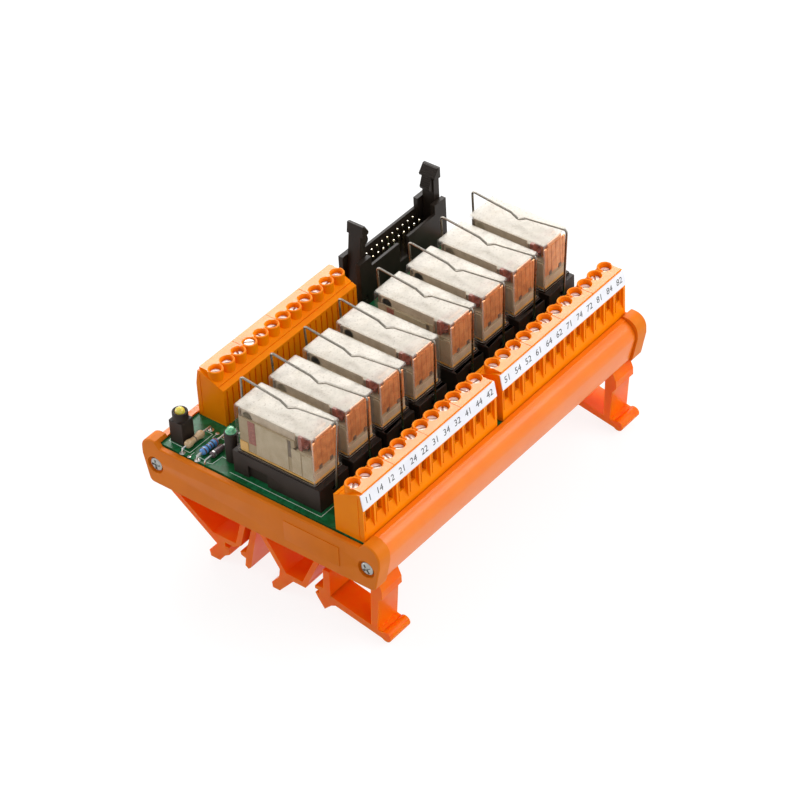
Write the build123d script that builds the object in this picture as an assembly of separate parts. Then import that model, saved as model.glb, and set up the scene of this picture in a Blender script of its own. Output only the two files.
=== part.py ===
"""Relay module board: eight plug-in relays, screw terminals and a box header on a rail carrier.

The origin is the middle of the footprint, on the surface that the rail feet stand on.
X runs along the rail and the terminal rows, +Z is up, and the output terminals are at -Y.
All sizes are millimetres.
"""
import os

from build123d import *

# Carrier and board
BOARD_TOP = 37.4          # height of the board's upper face above the feet
BOARD_T = 1.6
BOARD_LEN = 126.2
BOARD_W = 77.4
BOARD_PLAY = 0.2          # play of the board in its grooves
LIP_COVER = 0.75          # how far a groove lip reaches over the board
LIP_T = 0.7
TRAY_W = 86.4             # carrier profile across its widest line
TRAY_WALL = 1.4
TRAY_DROP = 14.0          # board's upper face down to the carrier's underside
TRAY_WIDEST_DROP = 4.8    # board's upper face down to the widest line
TRAY_TAPER = 2.2          # how far each side draws in from the widest line to the underside
TRAY_BOTTOM_R = 1.2
CHANNEL_W = 6.2           # hollow side channel, inside its walls
END_GAP = 0.3             # board's end to the end plate

# End plates and their screws
PLATE_WALL = 1.8
PLATE_RIM = 3.2           # how deep the rim reaches over the carrier
PLATE_RIM_T = 0.75
PLATE_PLAY = 0.05         # rim to carrier
PLATE_EAR_RISE = 1.6      # ears above the board's upper face
PLATE_EAR_W = 6.3
PLATE_EAR_R = 4.2
PLATE_MID_DROP = 0.5      # straight middle edge below the board's upper face
PLATE_FOOT_R = 2.0
PLATE_SINK = 0.6          # carrier's underside down to the plate's lower edge
PLATE_FOOT_GAP = 41.0     # half width of the rim's gap over the rail feet
BADGE_LEN = 20.0          # bare raised field on the plate's outer face
BADGE_H = 7.0
BADGE_T = 0.25
BADGE_Y = -19.5
SCREW_IN = 4.1            # plate screws in from the widest line
SCREW_DROP = 7.4
SCREW_HEAD_D = 5.2
SCREW_HEAD_H = 1.3
SCREW_SIDES = 16
SCREW_SINK = 1.0          # screw recess in the plate's outer face
SCREW_SHANK_D = 2.9
SCREW_LEN = 11.0
SCREW_PLAY = 0.15
SCREW_CROSS_W = 0.8
SCREW_CROSS_LEN = 3.2
SCREW_CROSS_DEEP = 1.0
PORT_WALL = 1.3

# Rail feet
FOOT_W = 9.0
FOOT_INSET = 1.7          # from the tray's end
FOOT_PLATE_T = 2.0
FOOT_WALL = 1.8
RAIL_W = 35.0             # top-hat rail across its flanges
RAIL_T = 1.0
RAIL_LEVEL = 7.6          # middle of the rail's flange above the surface
RAIL_PLAY = 0.5
SLOT_IN = 13.2            # T-slots in from the widest line
SLOT_MOUTH = 2.8
SLOT_HEAD = 5.6
SLOT_HEAD_H = 1.4
SLOT_PLAY = 0.2
SLOT_WALL = 1.2
FOOT_LIP_R = 1.8
FOOT_LIP_RISE = 1.2       # the release lip hangs this far above the surface

# Terminal blocks
POLES = 12
PITCH = 5.08
BLOCK_END = 0.3           # end wall beyond the outer poles' share
BLOCK_D = 10.4
BLOCK_SPLIT = 1.42        # middle of the carrier to each output block
BLOCK_EDGE = 37.5         # block fronts from the carrier's middle plane
INPUT_START = -46.4
LABEL_FOOT = 11.7
LABEL_HEAD = 16.8
LABEL_LEAN = 0.9          # how far the label face leans back
BLOCK_BACK_H = 13.1
DECK_H = 17.5
DECK_INSET = 0.9
BOSS_Y = 5.4
FUNNEL_D = 3.7
BOSS_SIDES = 8
BOSS_RISE = 0.3           # bosses above the deck
RECESS_W = 3.7
RECESS_DEEP = 1.0
RECESS_TOP = 11.1
RECESS_SILL = 5.4
RECESS_FOOT = 3.0
WIRE_W = 2.7
WIRE_H = 4.4
WIRE_Z = 6.0
POCKET_W = 3.9
POCKET_Y = 2.6
POCKET_D = 5.6
POCKET_H = 12.4
CLAMP_PLAY = 0.2
CLAMP_WALL = 0.5
CLAMP_FOOT = 3.0
PIN_W = 0.9
LABEL_T = 0.3
TERMINAL_SCREW_D = 3.3
TERMINAL_SCREW_H = 1.5
TERMINAL_SHANK_W = 1.6
TERMINAL_SCREW_SIDES = 8
TERMINAL_SLOT_W = 0.6
TERMINAL_SLOT_DEEP = 0.7
RAISED_SCREW = 3          # input pole whose screw stands high
RAISED_BY = 2.4

# Relays, sockets and clips
RELAY_COUNT = 8
RELAY_PITCH = 15.24
RELAY_GROUP_GAP = 2.6     # extra space between relays 4 and 5
RELAY_Y = -3.5
RELAY_FIRST_X = -53.7
RELAY_W = 12.4
RELAY_LEN = 28.6
RELAY_H = 16.7
COVER_WALL = 0.45
COVER_EDGE = 0.8
SOCKET_W = 13.0
SOCKET_LEN = 32.0
SOCKET_H = 8.0
SOCKET_DECK = 0.7         # raised middle that the relay sits on
SOCKET_NOTCH_LEN = 7.0
SOCKET_NOTCH_H = 4.4
SOCKET_NOTCH_DEEP = 0.9
SOCKET_NOTCH_Y = 7.0
WIRE_D = 0.8
WIRE_SIDES = 6
CLIP_HOLE_PLAY = 0.3
CLIP_FOOT_IN = 1.8        # how far the wire's feet reach into the socket
CLIP_PIVOT_H = 5.0        # pivot above the board
CLIP_GAP = 0.2            # clip leg to the socket's end
CLIP_TOP_OUT = 2.8        # output-side corner beyond the socket's end
CLIP_TOP_IN = 0.2         # input-side corner beyond the socket's end
CLIP_CORNER_H = 30.3      # above the board
CLIP_BEND_H = 28.4
CLIP_BEND_HALF = 2.9
CLIP_V_H = 26.8
CLIP_V_Y = -0.9           # notch from the relay's middle
CLIP_LEANS = (0, -4.5, -5.2, -3.7, -3.3, -3.6, -2.8, -2.1)     # each clip's lean at rest, degrees
BASE_T = 1.5              # relay base plate
WORKS_PLAY = 0.35         # works to the cover's inside
FRAME_H = 10.9
FRAME_LEN = 20.5
FRAME_STEP_LEN = 6.4
FRAME_STEP_H = 8.5
YOKE_T = 1.2
SPRING_T = 0.4
SPRING_W = 3.4
SPRING_H = 5.6
SPRING_GAP = 1.6          # between the two contact springs

# Box header
HEADER_COLS = 10
HEADER_PITCH = 2.54
HEADER_X = 41.2
HEADER_Y = 33.5
HEADER_LEN = 42.5
HEADER_W = 8.4
HEADER_WALL = 1.0
HEADER_WALL_H = 13.2
HEADER_FLOOR = 5.0
TOWER_LEN = 5.6
TOWER_H = 16.6
TOWER_CHEEK = 1.7
KEY_W = 4.4
KEY_DEEP = 7.0            # key slot from the wall's top
HEADER_PIN_W = 0.64
HEADER_PIN_TOP = 12.9
LATCH_PLAY = 0.2
LATCH_STEM = 2.6
LATCH_TOP = 27.9
LATCH_NOSE = 4.6          # nose beyond the stem's outer face
LATCH_NOSE_H = 21.2
LATCH_LEAN = 7.0          # the left latch stands this many degrees inwards
LATCH_PIVOT_H = 3.0
LATCH_PIVOT_D = 1.6
LATCH_PIVOT_SIDES = 8
LATCH_TOE = 2.0           # ejecting toe inward from the stem
LATCH_TOE_H = 4.6
LATCH_INSET = 0.7         # stem's outer face in from the tower's end

# Small parts near the first relay
LAMP_D = 3.0
POWER_BLOCK_W = 5.0
POWER_BLOCK_H = 7.8
COLLAR_D = 4.8            # round collar under the power lamp
COLLAR_H = 2.4
POWER_X = -57.9
POWER_Y = 34.0
SPACER_D = 4.2
SPACER_H = 10.2
RELAY_LAMP_X = -2.6       # from the relay's middle
RELAY_LAMP_Y = 16.1
LAMP_H = 1.6
LAMP_EDGE = 0.7
LAMP_SIDES = 8
LEAD_D = 0.6
LEAD_SPAN = 12.7
LEAD_RISE = 0.2           # body's underside above the board
BEIGE_Y = 29.9
BLUE_Y = 24.3
DIODE_Y = 21.3
BEIGE_D = 2.5
BEIGE_LEN = 7.4
BLUE_D = 2.4
BLUE_LEN = 6.8
DIODE_D = 2.0
DIODE_LEN = 5.0
DIODE_X = -2.7            # pads' middle from the relay's middle
BODY_SHIFT = -0.9         # bodies from their pads' middle
BEIGE_CAP_LEN = 2.6       # thick ends of the beige resistor
BEIGE_NECK = 0.3

# Worked out from the sizes above
TRAY_LEN = BOARD_LEN + 2 * END_GAP
TRAY_END = TRAY_LEN / 2
TRAY_FLOOR = BOARD_TOP - TRAY_DROP
BOARD_UNDER = BOARD_TOP - BOARD_T
BLOCK_LEN = POLES * PITCH + 2 * BLOCK_END
SCREW_Y = TRAY_W / 2 - SCREW_IN
SLOT_Y = TRAY_W / 2 - SLOT_IN
RELAY_FOOT = BOARD_TOP + SOCKET_H + SOCKET_DECK


def relay_x(index):
    """Middle of relay number index (0 to 7) along X."""
    return RELAY_FIRST_X + index * RELAY_PITCH + (RELAY_GROUP_GAP if index >= RELAY_COUNT // 2 else 0)


def block(x_size, y_size, z_size, x=0.0, y=0.0, z=0.0):
    """A box centred on x and y, standing on z."""
    return Pos(x, y, z) * Box(x_size, y_size, z_size, align=(Align.CENTER, Align.CENTER, Align.MIN))


def rod(diameter, length, x=0.0, y=0.0, z=0.0):
    """An upright cylinder standing on z."""
    return Pos(x, y, z) * Cylinder(diameter / 2, length, align=(Align.CENTER, Align.CENTER, Align.MIN))


def prism(sides, diameter, length, x=0.0, y=0.0, z=0.0):
    """An upright prism standing on z, its flats as far apart as the diameter."""
    outline = RegularPolygon(diameter / 2, sides, major_radius=False)
    return Pos(x, y, z) * extrude(outline, amount=length)


def along_x(points, start, length):
    """Extrude a closed outline of (y, z) points along X."""
    outline = make_face(Polyline(*[(0, y, z) for y, z in points], close=True))
    return Pos(start, 0, 0) * extrude(outline, amount=length, dir=(1, 0, 0))


def along_y(points, middle, length):
    """Extrude a closed outline of (x, z) points along Y, centred on middle."""
    outline = make_face(Polyline(*[(x, 0, z) for x, z in points], close=True))
    return Pos(0, middle - length / 2, 0) * extrude(outline, amount=length, dir=(0, 1, 0))


def save(node, shape):
    """Write one sub-part to its STEP file."""
    export_step(shape, os.path.join("parts", node + ".step"))


def tray_outline():
    """The carrier's outer line, filled, in the YZ plane."""
    lip_top = BOARD_TOP + BOARD_PLAY + LIP_T
    shoulder = BOARD_W / 2 + BOARD_PLAY + LIP_T
    widest = TRAY_W / 2
    widest_z = BOARD_TOP - TRAY_WIDEST_DROP
    half = []
    for side in (1, -1):
        top = (0, side * shoulder, lip_top - LIP_T / 2)
        bulge = TangentArc((0, side * widest, widest_z), top, tangent=(0, 0, 1))
        flank = Line((0, side * (widest - TRAY_TAPER), TRAY_FLOOR), (0, side * widest, widest_z))
        step = Polyline(top, (0, side * shoulder, lip_top), (0, 0, lip_top))
        floor = Line((0, 0, TRAY_FLOOR), (0, side * (widest - TRAY_TAPER), TRAY_FLOOR))
        half += [floor, flank, bulge, step]
    face = make_face(half)
    corners = face.vertices().filter_by(lambda v: abs(v.Z - TRAY_FLOOR) < 0.01 and abs(v.Y) > TRAY_W / 4)
    return fillet(corners, TRAY_BOTTOM_R)


def yz_rect(y_low, y_high, z_low, z_high):
    """A filled rectangle in the YZ plane."""
    corners = [(0, y_low, z_low), (0, y_high, z_low), (0, y_high, z_high), (0, y_low, z_high)]
    return make_face(Polyline(*corners, close=True))


def yz_disc(y, z, diameter):
    """A filled many-sided disc in the YZ plane."""
    face = Plane((0, y, z), x_dir=(0, 1, 0), z_dir=(1, 0, 0))
    return face * RegularPolygon(diameter / 2, SCREW_SIDES, major_radius=False)


def make_tray():
    """Extruded carrier: floor with T-slots, hollow sides with screw ports, board grooves."""
    groove_top = BOARD_TOP + BOARD_PLAY
    lip_in = BOARD_W / 2 - LIP_COVER
    floor_top = TRAY_FLOOR + TRAY_WALL
    channel_out = TRAY_W / 2 - TRAY_WALL
    channel_in = channel_out - CHANNEL_W
    ledge = BOARD_UNDER - TRAY_WALL
    port_d = SCREW_SHANK_D + 2 * SCREW_PLAY
    port_z = BOARD_TOP - SCREW_DROP
    section = tray_outline()
    section -= yz_rect(-lip_in, lip_in, BOARD_UNDER, groove_top + 2 * LIP_T)
    groove_half = BOARD_W / 2 + BOARD_PLAY
    section -= yz_rect(-groove_half, groove_half, BOARD_UNDER, groove_top)
    inner = channel_in - TRAY_WALL
    section -= yz_rect(-inner, inner, floor_top, BOARD_UNDER)
    for side in (1, -1):
        taper = TRAY_TAPER - TRAY_WALL * 0.25
        widest_z = BOARD_TOP - TRAY_WIDEST_DROP
        hollow = [(0, side * channel_in, floor_top), (0, side * channel_in, ledge),
                  (0, side * (channel_out - TRAY_WALL / 2), ledge), (0, side * channel_out, widest_z),
                  (0, side * (channel_out - taper), floor_top)]
        hollow = make_face(Polyline(*hollow, close=True))
        hollow -= yz_disc(side * SCREW_Y, port_z, port_d + 2 * PORT_WALL)
        web = PORT_WALL / 2
        hollow -= yz_rect(min(side * channel_in, side * SCREW_Y), max(side * channel_in, side * SCREW_Y),
                          port_z - web, port_z + web)
        section -= hollow
        section -= yz_disc(side * SCREW_Y, port_z, port_d)
        head = SLOT_HEAD / 2
        slot = side * SLOT_Y
        section += yz_rect(slot - head - SLOT_WALL, slot + head + SLOT_WALL,
                           floor_top, floor_top + SLOT_HEAD_H + SLOT_WALL)
        section -= yz_rect(slot - head, slot + head, floor_top, floor_top + SLOT_HEAD_H)
        section -= yz_rect(slot - SLOT_MOUTH / 2, slot + SLOT_MOUTH / 2, TRAY_FLOOR, floor_top)
    return Pos(-TRAY_END, 0, 0) * extrude(section, amount=TRAY_LEN, dir=(1, 0, 0))


def plate_outline():
    """An end plate's outer line: raised ears, straight middle, sides that draw in downwards."""
    half = TRAY_W / 2 + PLATE_PLAY + PLATE_RIM_T
    ear_top = BOARD_TOP + PLATE_EAR_RISE
    middle = BOARD_TOP - PLATE_MID_DROP
    widest_z = BOARD_TOP - TRAY_WIDEST_DROP
    foot = TRAY_FLOOR - PLATE_SINK
    ear_in = half - PLATE_EAR_W
    slope = PLATE_EAR_RISE / 2
    right = [(0, ear_in - slope, middle), (0, ear_in + slope, ear_top), (0, half, ear_top),
             (0, half, widest_z), (0, half - TRAY_TAPER, foot)]
    left = [(0, -y, z) for x, y, z in reversed(right)]
    face = make_face(Polyline(*right, *left, close=True))
    upper = face.vertices().filter_by(lambda v: abs(v.Z - ear_top) < 0.01 and abs(v.Y) > half - 0.01)
    face = fillet(upper, PLATE_EAR_R)
    lower = face.vertices().filter_by(lambda v: abs(v.Z - foot) < 0.01)
    return fillet(lower, PLATE_FOOT_R)


def make_end_plate(side):
    """End plate at the -X or +X end: a wall with a shallow rim that slips over the carrier's end."""
    outline = plate_outline()
    wall = extrude(outline, amount=PLATE_WALL, dir=(side, 0, 0))
    rim_line = outline - offset(tray_outline(), PLATE_PLAY)
    rim_line -= yz_rect(-PLATE_FOOT_GAP, PLATE_FOOT_GAP, TRAY_FLOOR - 2 * PLATE_SINK, TRAY_FLOOR)
    rim = extrude(rim_line, amount=PLATE_RIM, dir=(-side, 0, 0))
    plate = wall + rim
    outer = plate.edges().filter_by(lambda e: abs(e.center().X - side * PLATE_WALL) < 0.01)
    plate = chamfer(outer, PLATE_WALL / 5)
    screw_z = BOARD_TOP - SCREW_DROP
    hole = SCREW_SHANK_D + 2 * SCREW_PLAY
    for y in (-SCREW_Y, SCREW_Y):
        plate -= extrude(yz_disc(y, screw_z, hole), amount=PLATE_WALL, dir=(side, 0, 0))
        recess = yz_disc(y, screw_z, SCREW_HEAD_D + 4 * SCREW_PLAY)
        seat = Pos(side * (PLATE_WALL - SCREW_SINK), 0, 0)
        plate -= seat * extrude(recess, amount=SCREW_SINK, dir=(side, 0, 0))
    badge_z = (BOARD_TOP - PLATE_MID_DROP + TRAY_FLOOR - PLATE_SINK) / 2
    badge = yz_rect(BADGE_Y - BADGE_LEN / 2, BADGE_Y + BADGE_LEN / 2,
                    badge_z - BADGE_H / 2, badge_z + BADGE_H / 2)
    plate += Pos(side * PLATE_WALL, 0, 0) * extrude(badge, amount=BADGE_T, dir=(side, 0, 0))
    return Pos(side * TRAY_END, 0, 0) * plate


def make_plate_screws():
    """Four self-tapping screws with a cross recess, one at each end of both plates."""
    screw = prism(SCREW_SIDES, SCREW_HEAD_D, SCREW_HEAD_H)
    screw = chamfer(screw.faces().sort_by(Axis.Z)[-1].edges(), SCREW_HEAD_H / 3)
    screw += prism(SCREW_SIDES // 2, SCREW_SHANK_D, SCREW_LEN, z=-SCREW_LEN)
    cross_z = SCREW_HEAD_H - SCREW_CROSS_DEEP
    screw -= block(SCREW_CROSS_LEN, SCREW_CROSS_W, SCREW_CROSS_DEEP, z=cross_z)
    screw -= block(SCREW_CROSS_W, SCREW_CROSS_LEN, SCREW_CROSS_DEEP, z=cross_z)
    seat = TRAY_END + PLATE_WALL - SCREW_SINK
    screws = []
    for side in (-1, 1):
        for y in (-SCREW_Y, SCREW_Y):
            place = Plane((side * seat, y, BOARD_TOP - SCREW_DROP), x_dir=(0, 1, 0), z_dir=(side, 0, 0))
            screws.append(place * screw)
    return Compound(children=screws)


def make_rail_foot(start):
    """Moulded foot for a 35 mm top-hat rail, extruded along X from start."""
    plate_low = TRAY_FLOOR - FOOT_PLATE_T
    flange = RAIL_W / 2
    grip = flange + RAIL_PLAY / 2
    jaw = flange - RAIL_T - RAIL_PLAY / 2
    low = RAIL_LEVEL - RAIL_T / 2 - RAIL_PLAY / 2
    high = RAIL_LEVEL + RAIL_T / 2 + RAIL_PLAY / 2
    wall = FOOT_WALL
    parts = []

    # Plate against the carrier, with its T-heads
    parts.append([(-38.8, plate_low), (40.6, plate_low), (39.6, TRAY_FLOOR), (-38.8, TRAY_FLOOR)])
    stem = SLOT_MOUTH / 2 - SLOT_PLAY
    head = SLOT_HEAD / 2 - SLOT_PLAY
    floor_top = TRAY_FLOOR + TRAY_WALL
    for side in (1, -1):
        mid = side * SLOT_Y
        parts.append([(mid - stem, TRAY_FLOOR - wall), (mid + stem, TRAY_FLOOR - wall),
                      (mid + stem, floor_top + SLOT_PLAY), (mid - stem, floor_top + SLOT_PLAY)])
        parts.append([(mid - head, floor_top + SLOT_PLAY / 2), (mid + head, floor_top + SLOT_PLAY / 2),
                      (mid + head, floor_top + SLOT_HEAD_H - SLOT_PLAY / 2),
                      (mid - head, floor_top + SLOT_HEAD_H - SLOT_PLAY / 2)])

    # Fixed jaw: sloped brace, shoe with the rail groove, inner wall
    parts.append([(40.6, plate_low), (37.7, plate_low), (19.8, high), (20.9, low - 0.6)])
    parts.append([(20.9, low - 0.6), (24.3, 2.2), (23.9, 0), (20.4, 0), (18.6, 2.6), (jaw, 4.2), (jaw, low),
                  (grip, low), (grip, high), (jaw - wall, high), (13.0, high + wall), (22.4, high + wall)])
    parts.append([(jaw - wall, high), (11.4, high + wall), (8.4, plate_low), (8.4 + wall, plate_low),
                  (13.4, high + wall)])

    # Middle finger and trough beside it
    parts.append([(6.0, plate_low), (9.6, 8.6), (11.9, 7.9), (11.6, 6.7), (9.9, 6.2), (10.4, 3.2), (9.2, 2.4),
                  (8.2, 3.4), (4.2, plate_low)])
    parts.append([(5.0, plate_low), (-3.1, 8.8), (-4.9, 9.4), (3.0, plate_low)])
    parts.append([(-3.1, 8.8), (-2.6, 5.4), (0.4, 2.0), (0.2, 0), (-2.4, 0), (-5.2, 3.2), (-8.0, 6.4),
                  (-12.6, 6.4), (-13.6, 8.2), (-5.4, 8.4), (-4.9, 9.4)])
    parts.append([(-12.6, 6.4), (-19.6, plate_low), (-17.8, plate_low), (-11.2, 7.4)])

    # Sprung arm with the rail groove, band and leg
    parts.append([(-19.8, 17.4), (-19.4, 10.0), (-jaw, 9.4), (-jaw, high), (-grip, high), (-grip, low),
                  (-jaw, low), (-16.9, 5.6), (-19.4, 1.9), (-21.9, 4.4), (-22.1, 17.4)])
    parts.append([(-21.8, 4.4), (-23.6, 5.3), (-41.6, 1.6), (-41.6, 3.9), (-22.0, 8.2)])
    parts.append([(-38.6, TRAY_FLOOR), (-40.0, TRAY_FLOOR), (-41.4, 19.9), (-41.4, 17.3), (-40.0, 15.4),
                  (-38.9, 3.2), (-36.6, 4.2), (-37.4, plate_low)])
    foot = None
    for outline in parts:
        piece = along_x(outline, start, FOOT_W)
        foot = piece if foot is None else foot + piece
    lip = Plane((start, -41.9, FOOT_LIP_RISE + FOOT_LIP_R), x_dir=(0, 1, 0), z_dir=(1, 0, 0))
    foot += extrude(lip * Circle(FOOT_LIP_R), amount=FOOT_W, dir=(1, 0, 0))
    return foot


def make_board():
    """Bare circuit board that slides in the carrier's grooves."""
    return block(BOARD_LEN, BOARD_W, BOARD_T, z=BOARD_UNDER)


def pole_x(pole):
    """Middle of a terminal pole from the block's start."""
    return BLOCK_END + (pole + 0.5) * PITCH


def in_block(shape, start, turned):
    """Put a shape drawn from a block's front corner in its place on the board."""
    if turned:
        return Pos(start + BLOCK_LEN, BLOCK_EDGE, BOARD_TOP) * Rot(0, 0, 180) * shape
    return Pos(start, -BLOCK_EDGE, BOARD_TOP) * shape


def make_terminal_block():
    """A 12-pole screw terminal housing from its front lower corner, front towards -Y."""
    deck_back = BOSS_Y
    body = along_x([(0, 0), (0, LABEL_FOOT), (LABEL_LEAN, LABEL_HEAD), (2 * LABEL_LEAN, LABEL_HEAD),
                    (BLOCK_D, BLOCK_BACK_H), (BLOCK_D, 0)], 0, BLOCK_LEN)
    deck = along_x([(LABEL_LEAN, LABEL_HEAD - LABEL_LEAN), (LABEL_LEAN, DECK_H), (deck_back, DECK_H),
                    (deck_back, BLOCK_BACK_H)], DECK_INSET, BLOCK_LEN - 2 * DECK_INSET)
    body += deck
    boss_foot = BLOCK_BACK_H - PITCH / 2
    boss_top = DECK_H + BOSS_RISE
    flat_on = Rot(0, 0, 180 / BOSS_SIDES)
    boss = flat_on * prism(BOSS_SIDES, PITCH, boss_top - boss_foot)
    funnel = flat_on * prism(BOSS_SIDES, FUNNEL_D, boss_top - boss_foot)
    bosses = []
    cuts = []
    pocket_y = POCKET_Y + POCKET_D / 2
    for pole in range(POLES):
        x = pole_x(pole)
        bosses.append(Pos(x, BOSS_Y, boss_foot) * boss)
        cuts.append(Pos(x, BOSS_Y, boss_foot) * funnel)
        cuts.append(block(POCKET_W, POCKET_D, POCKET_H, x, pocket_y))
        recess = [(0, RECESS_FOOT), (RECESS_DEEP, RECESS_SILL), (RECESS_DEEP, RECESS_TOP), (0, RECESS_TOP)]
        recess = along_x(recess, x - RECESS_W / 2, RECESS_W)
        cuts.append(recess)
        cuts.append(block(WIRE_W, POCKET_Y, WIRE_H, x, POCKET_Y / 2, WIRE_Z))
    return body + bosses - cuts


def make_terminal_screw(rise):
    """Slotted clamp screw on its seat, with the shank that shows below a raised head."""
    screw = prism(TERMINAL_SCREW_SIDES, TERMINAL_SCREW_D, TERMINAL_SCREW_H, z=rise)
    slot_z = rise + TERMINAL_SCREW_H - TERMINAL_SLOT_DEEP
    screw -= block(2 * TERMINAL_SCREW_D, TERMINAL_SLOT_W, TERMINAL_SLOT_DEEP, z=slot_z)
    if rise:
        screw += block(TERMINAL_SHANK_W, TERMINAL_SHANK_W, rise)
    return screw


def make_clamp():
    """Wire cage open to the front and back, with its solder pin."""
    wide = POCKET_W - 2 * CLAMP_PLAY
    deep = POCKET_D - 2 * CLAMP_PLAY
    high = POCKET_H - CLAMP_PLAY - CLAMP_FOOT
    cage = block(wide, deep, high, z=CLAMP_FOOT)
    cage -= block(wide - 2 * CLAMP_WALL, deep, high - 2 * CLAMP_WALL, z=CLAMP_FOOT + CLAMP_WALL)
    return cage + block(PIN_W, PIN_W, CLAMP_FOOT)


def make_label():
    """Marking strip flat on a block's leaning label face."""
    slope = Vector(0, LABEL_LEAN, LABEL_HEAD - LABEL_FOOT)
    middle = Vector(BLOCK_LEN / 2, LABEL_LEAN / 2, (LABEL_FOOT + LABEL_HEAD) / 2)
    face = Plane(middle, x_dir=(1, 0, 0), z_dir=Vector(1, 0, 0).cross(slope))
    return face * block(BLOCK_LEN, slope.length, LABEL_T)


def make_socket(x):
    """Relay socket with a raised deck, side notches and the holes that its wire clip swings in."""
    socket = block(SOCKET_W, SOCKET_LEN, SOCKET_H, x, RELAY_Y, BOARD_TOP)
    socket += block(RELAY_W, RELAY_LEN, SOCKET_DECK, x, RELAY_Y, BOARD_TOP + SOCKET_H)
    for side in (-1, 1):
        socket -= block(2 * SOCKET_NOTCH_DEEP, SOCKET_NOTCH_LEN, SOCKET_NOTCH_H,
                        x + side * SOCKET_W / 2, RELAY_Y + SOCKET_NOTCH_Y, BOARD_TOP)
        depth = CLIP_FOOT_IN + CLIP_HOLE_PLAY
        hole = prism(WIRE_SIDES, WIRE_D + 2 * CLIP_HOLE_PLAY, depth)
        place = Plane((x, RELAY_Y + side * SOCKET_LEN / 2, BOARD_TOP + CLIP_PIVOT_H),
                      x_dir=(1, 0, 0), z_dir=(0, -side, 0))
        socket -= place * hole
    return socket


def make_cover(x):
    """Clear relay cover: a thin box open at the bottom, with bevelled edges."""
    cover = block(RELAY_W, RELAY_LEN, RELAY_H, x, RELAY_Y, RELAY_FOOT)
    upright = cover.edges().filter_by(Axis.Z)
    cover = chamfer(upright + cover.faces().sort_by(Axis.Z)[-1].edges(), COVER_EDGE / 2)
    wide = RELAY_W - 2 * COVER_WALL
    return cover - block(wide, RELAY_LEN - 2 * COVER_WALL, RELAY_H - COVER_WALL, x, RELAY_Y, RELAY_FOOT)


def works_size():
    """Width and length of what fits inside a relay cover."""
    room = 2 * (COVER_WALL + WORKS_PLAY)
    return RELAY_W - room, RELAY_LEN - room


def make_frame(x):
    """Moulded base and bobbin of a relay, with the low step that carries the contacts."""
    wide, length = works_size()
    z = RELAY_FOOT
    back = RELAY_Y + length / 2
    front = RELAY_Y - length / 2
    profile = [(front, z), (back, z), (back, z + BASE_T + FRAME_H), (back - FRAME_LEN, z + BASE_T + FRAME_H),
               (back - FRAME_LEN, z + BASE_T + FRAME_STEP_H), (front, z + BASE_T + FRAME_STEP_H)]
    frame = along_x(profile, x - wide / 2, wide)
    split = back - FRAME_LEN - (length - FRAME_LEN - FRAME_STEP_LEN) / 2
    for side in (-1, 1):
        frame -= block(2 * YOKE_T, YOKE_T, FRAME_STEP_H, x + side * wide / 2, split, z + BASE_T)
    return frame


def make_yokes():
    """Steel yokes on the bobbins, bent down in front of them."""
    wide, length = works_size()
    top = RELAY_FOOT + BASE_T + FRAME_H
    back = RELAY_Y + length / 2
    bend = back - FRAME_LEN
    profile = [(back, top), (back, top + YOKE_T), (bend - YOKE_T, top + YOKE_T),
               (bend - YOKE_T, top - FRAME_H + FRAME_STEP_H), (bend, top - FRAME_H + FRAME_STEP_H), (bend, top)]
    width = wide - 2 * YOKE_T
    yokes = [along_x(profile, relay_x(i) - width / 2, width) for i in range(RELAY_COUNT)]
    return Compound(children=yokes)


def make_contacts():
    """Pairs of contact springs standing on the step of each relay frame."""
    length = works_size()[1]
    z = RELAY_FOOT + BASE_T + FRAME_STEP_H
    y = RELAY_Y - length / 2 + SPRING_GAP / 2 + SPRING_T
    blade_y = (SPRING_GAP + SPRING_T) / 2
    springs = []
    for index in range(RELAY_COUNT):
        for side in (-1, 1):
            springs.append(block(2 * SPRING_W, SPRING_T, SPRING_H, relay_x(index), y + side * blade_y, z))
    return Compound(children=springs)


def clip_line():
    """Middle line of a relay clip as (y, height above the board) points, foot to foot."""
    out_face = RELAY_Y - SOCKET_LEN / 2
    in_face = RELAY_Y + SOCKET_LEN / 2
    leg = CLIP_GAP + WIRE_D / 2
    notch = RELAY_Y + CLIP_V_Y
    return [(out_face + CLIP_FOOT_IN, CLIP_PIVOT_H), (out_face - leg, CLIP_PIVOT_H),
            (out_face - CLIP_TOP_OUT, CLIP_CORNER_H), (notch - CLIP_BEND_HALF, CLIP_BEND_H),
            (notch, CLIP_V_H), (notch + CLIP_BEND_HALF, CLIP_BEND_H),
            (in_face + CLIP_TOP_IN, CLIP_CORNER_H), (in_face + leg, CLIP_PIVOT_H),
            (in_face - CLIP_FOOT_IN, CLIP_PIVOT_H)]


def make_clip(x, lean):
    """Bent wire that holds a relay down, with its feet in the socket's end holes."""
    path = Polyline(*[(0, y, h - CLIP_PIVOT_H) for y, h in clip_line()])
    start = Plane(path @ 0, x_dir=(1, 0, 0), z_dir=path % 0)
    section = start * RegularPolygon(WIRE_D / 2, WIRE_SIDES, major_radius=False)
    clip = sweep(section, path=path, transition=Transition.RIGHT)
    return Pos(x, 0, BOARD_TOP + CLIP_PIVOT_H) * Rot(0, lean, 0) * clip


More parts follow.
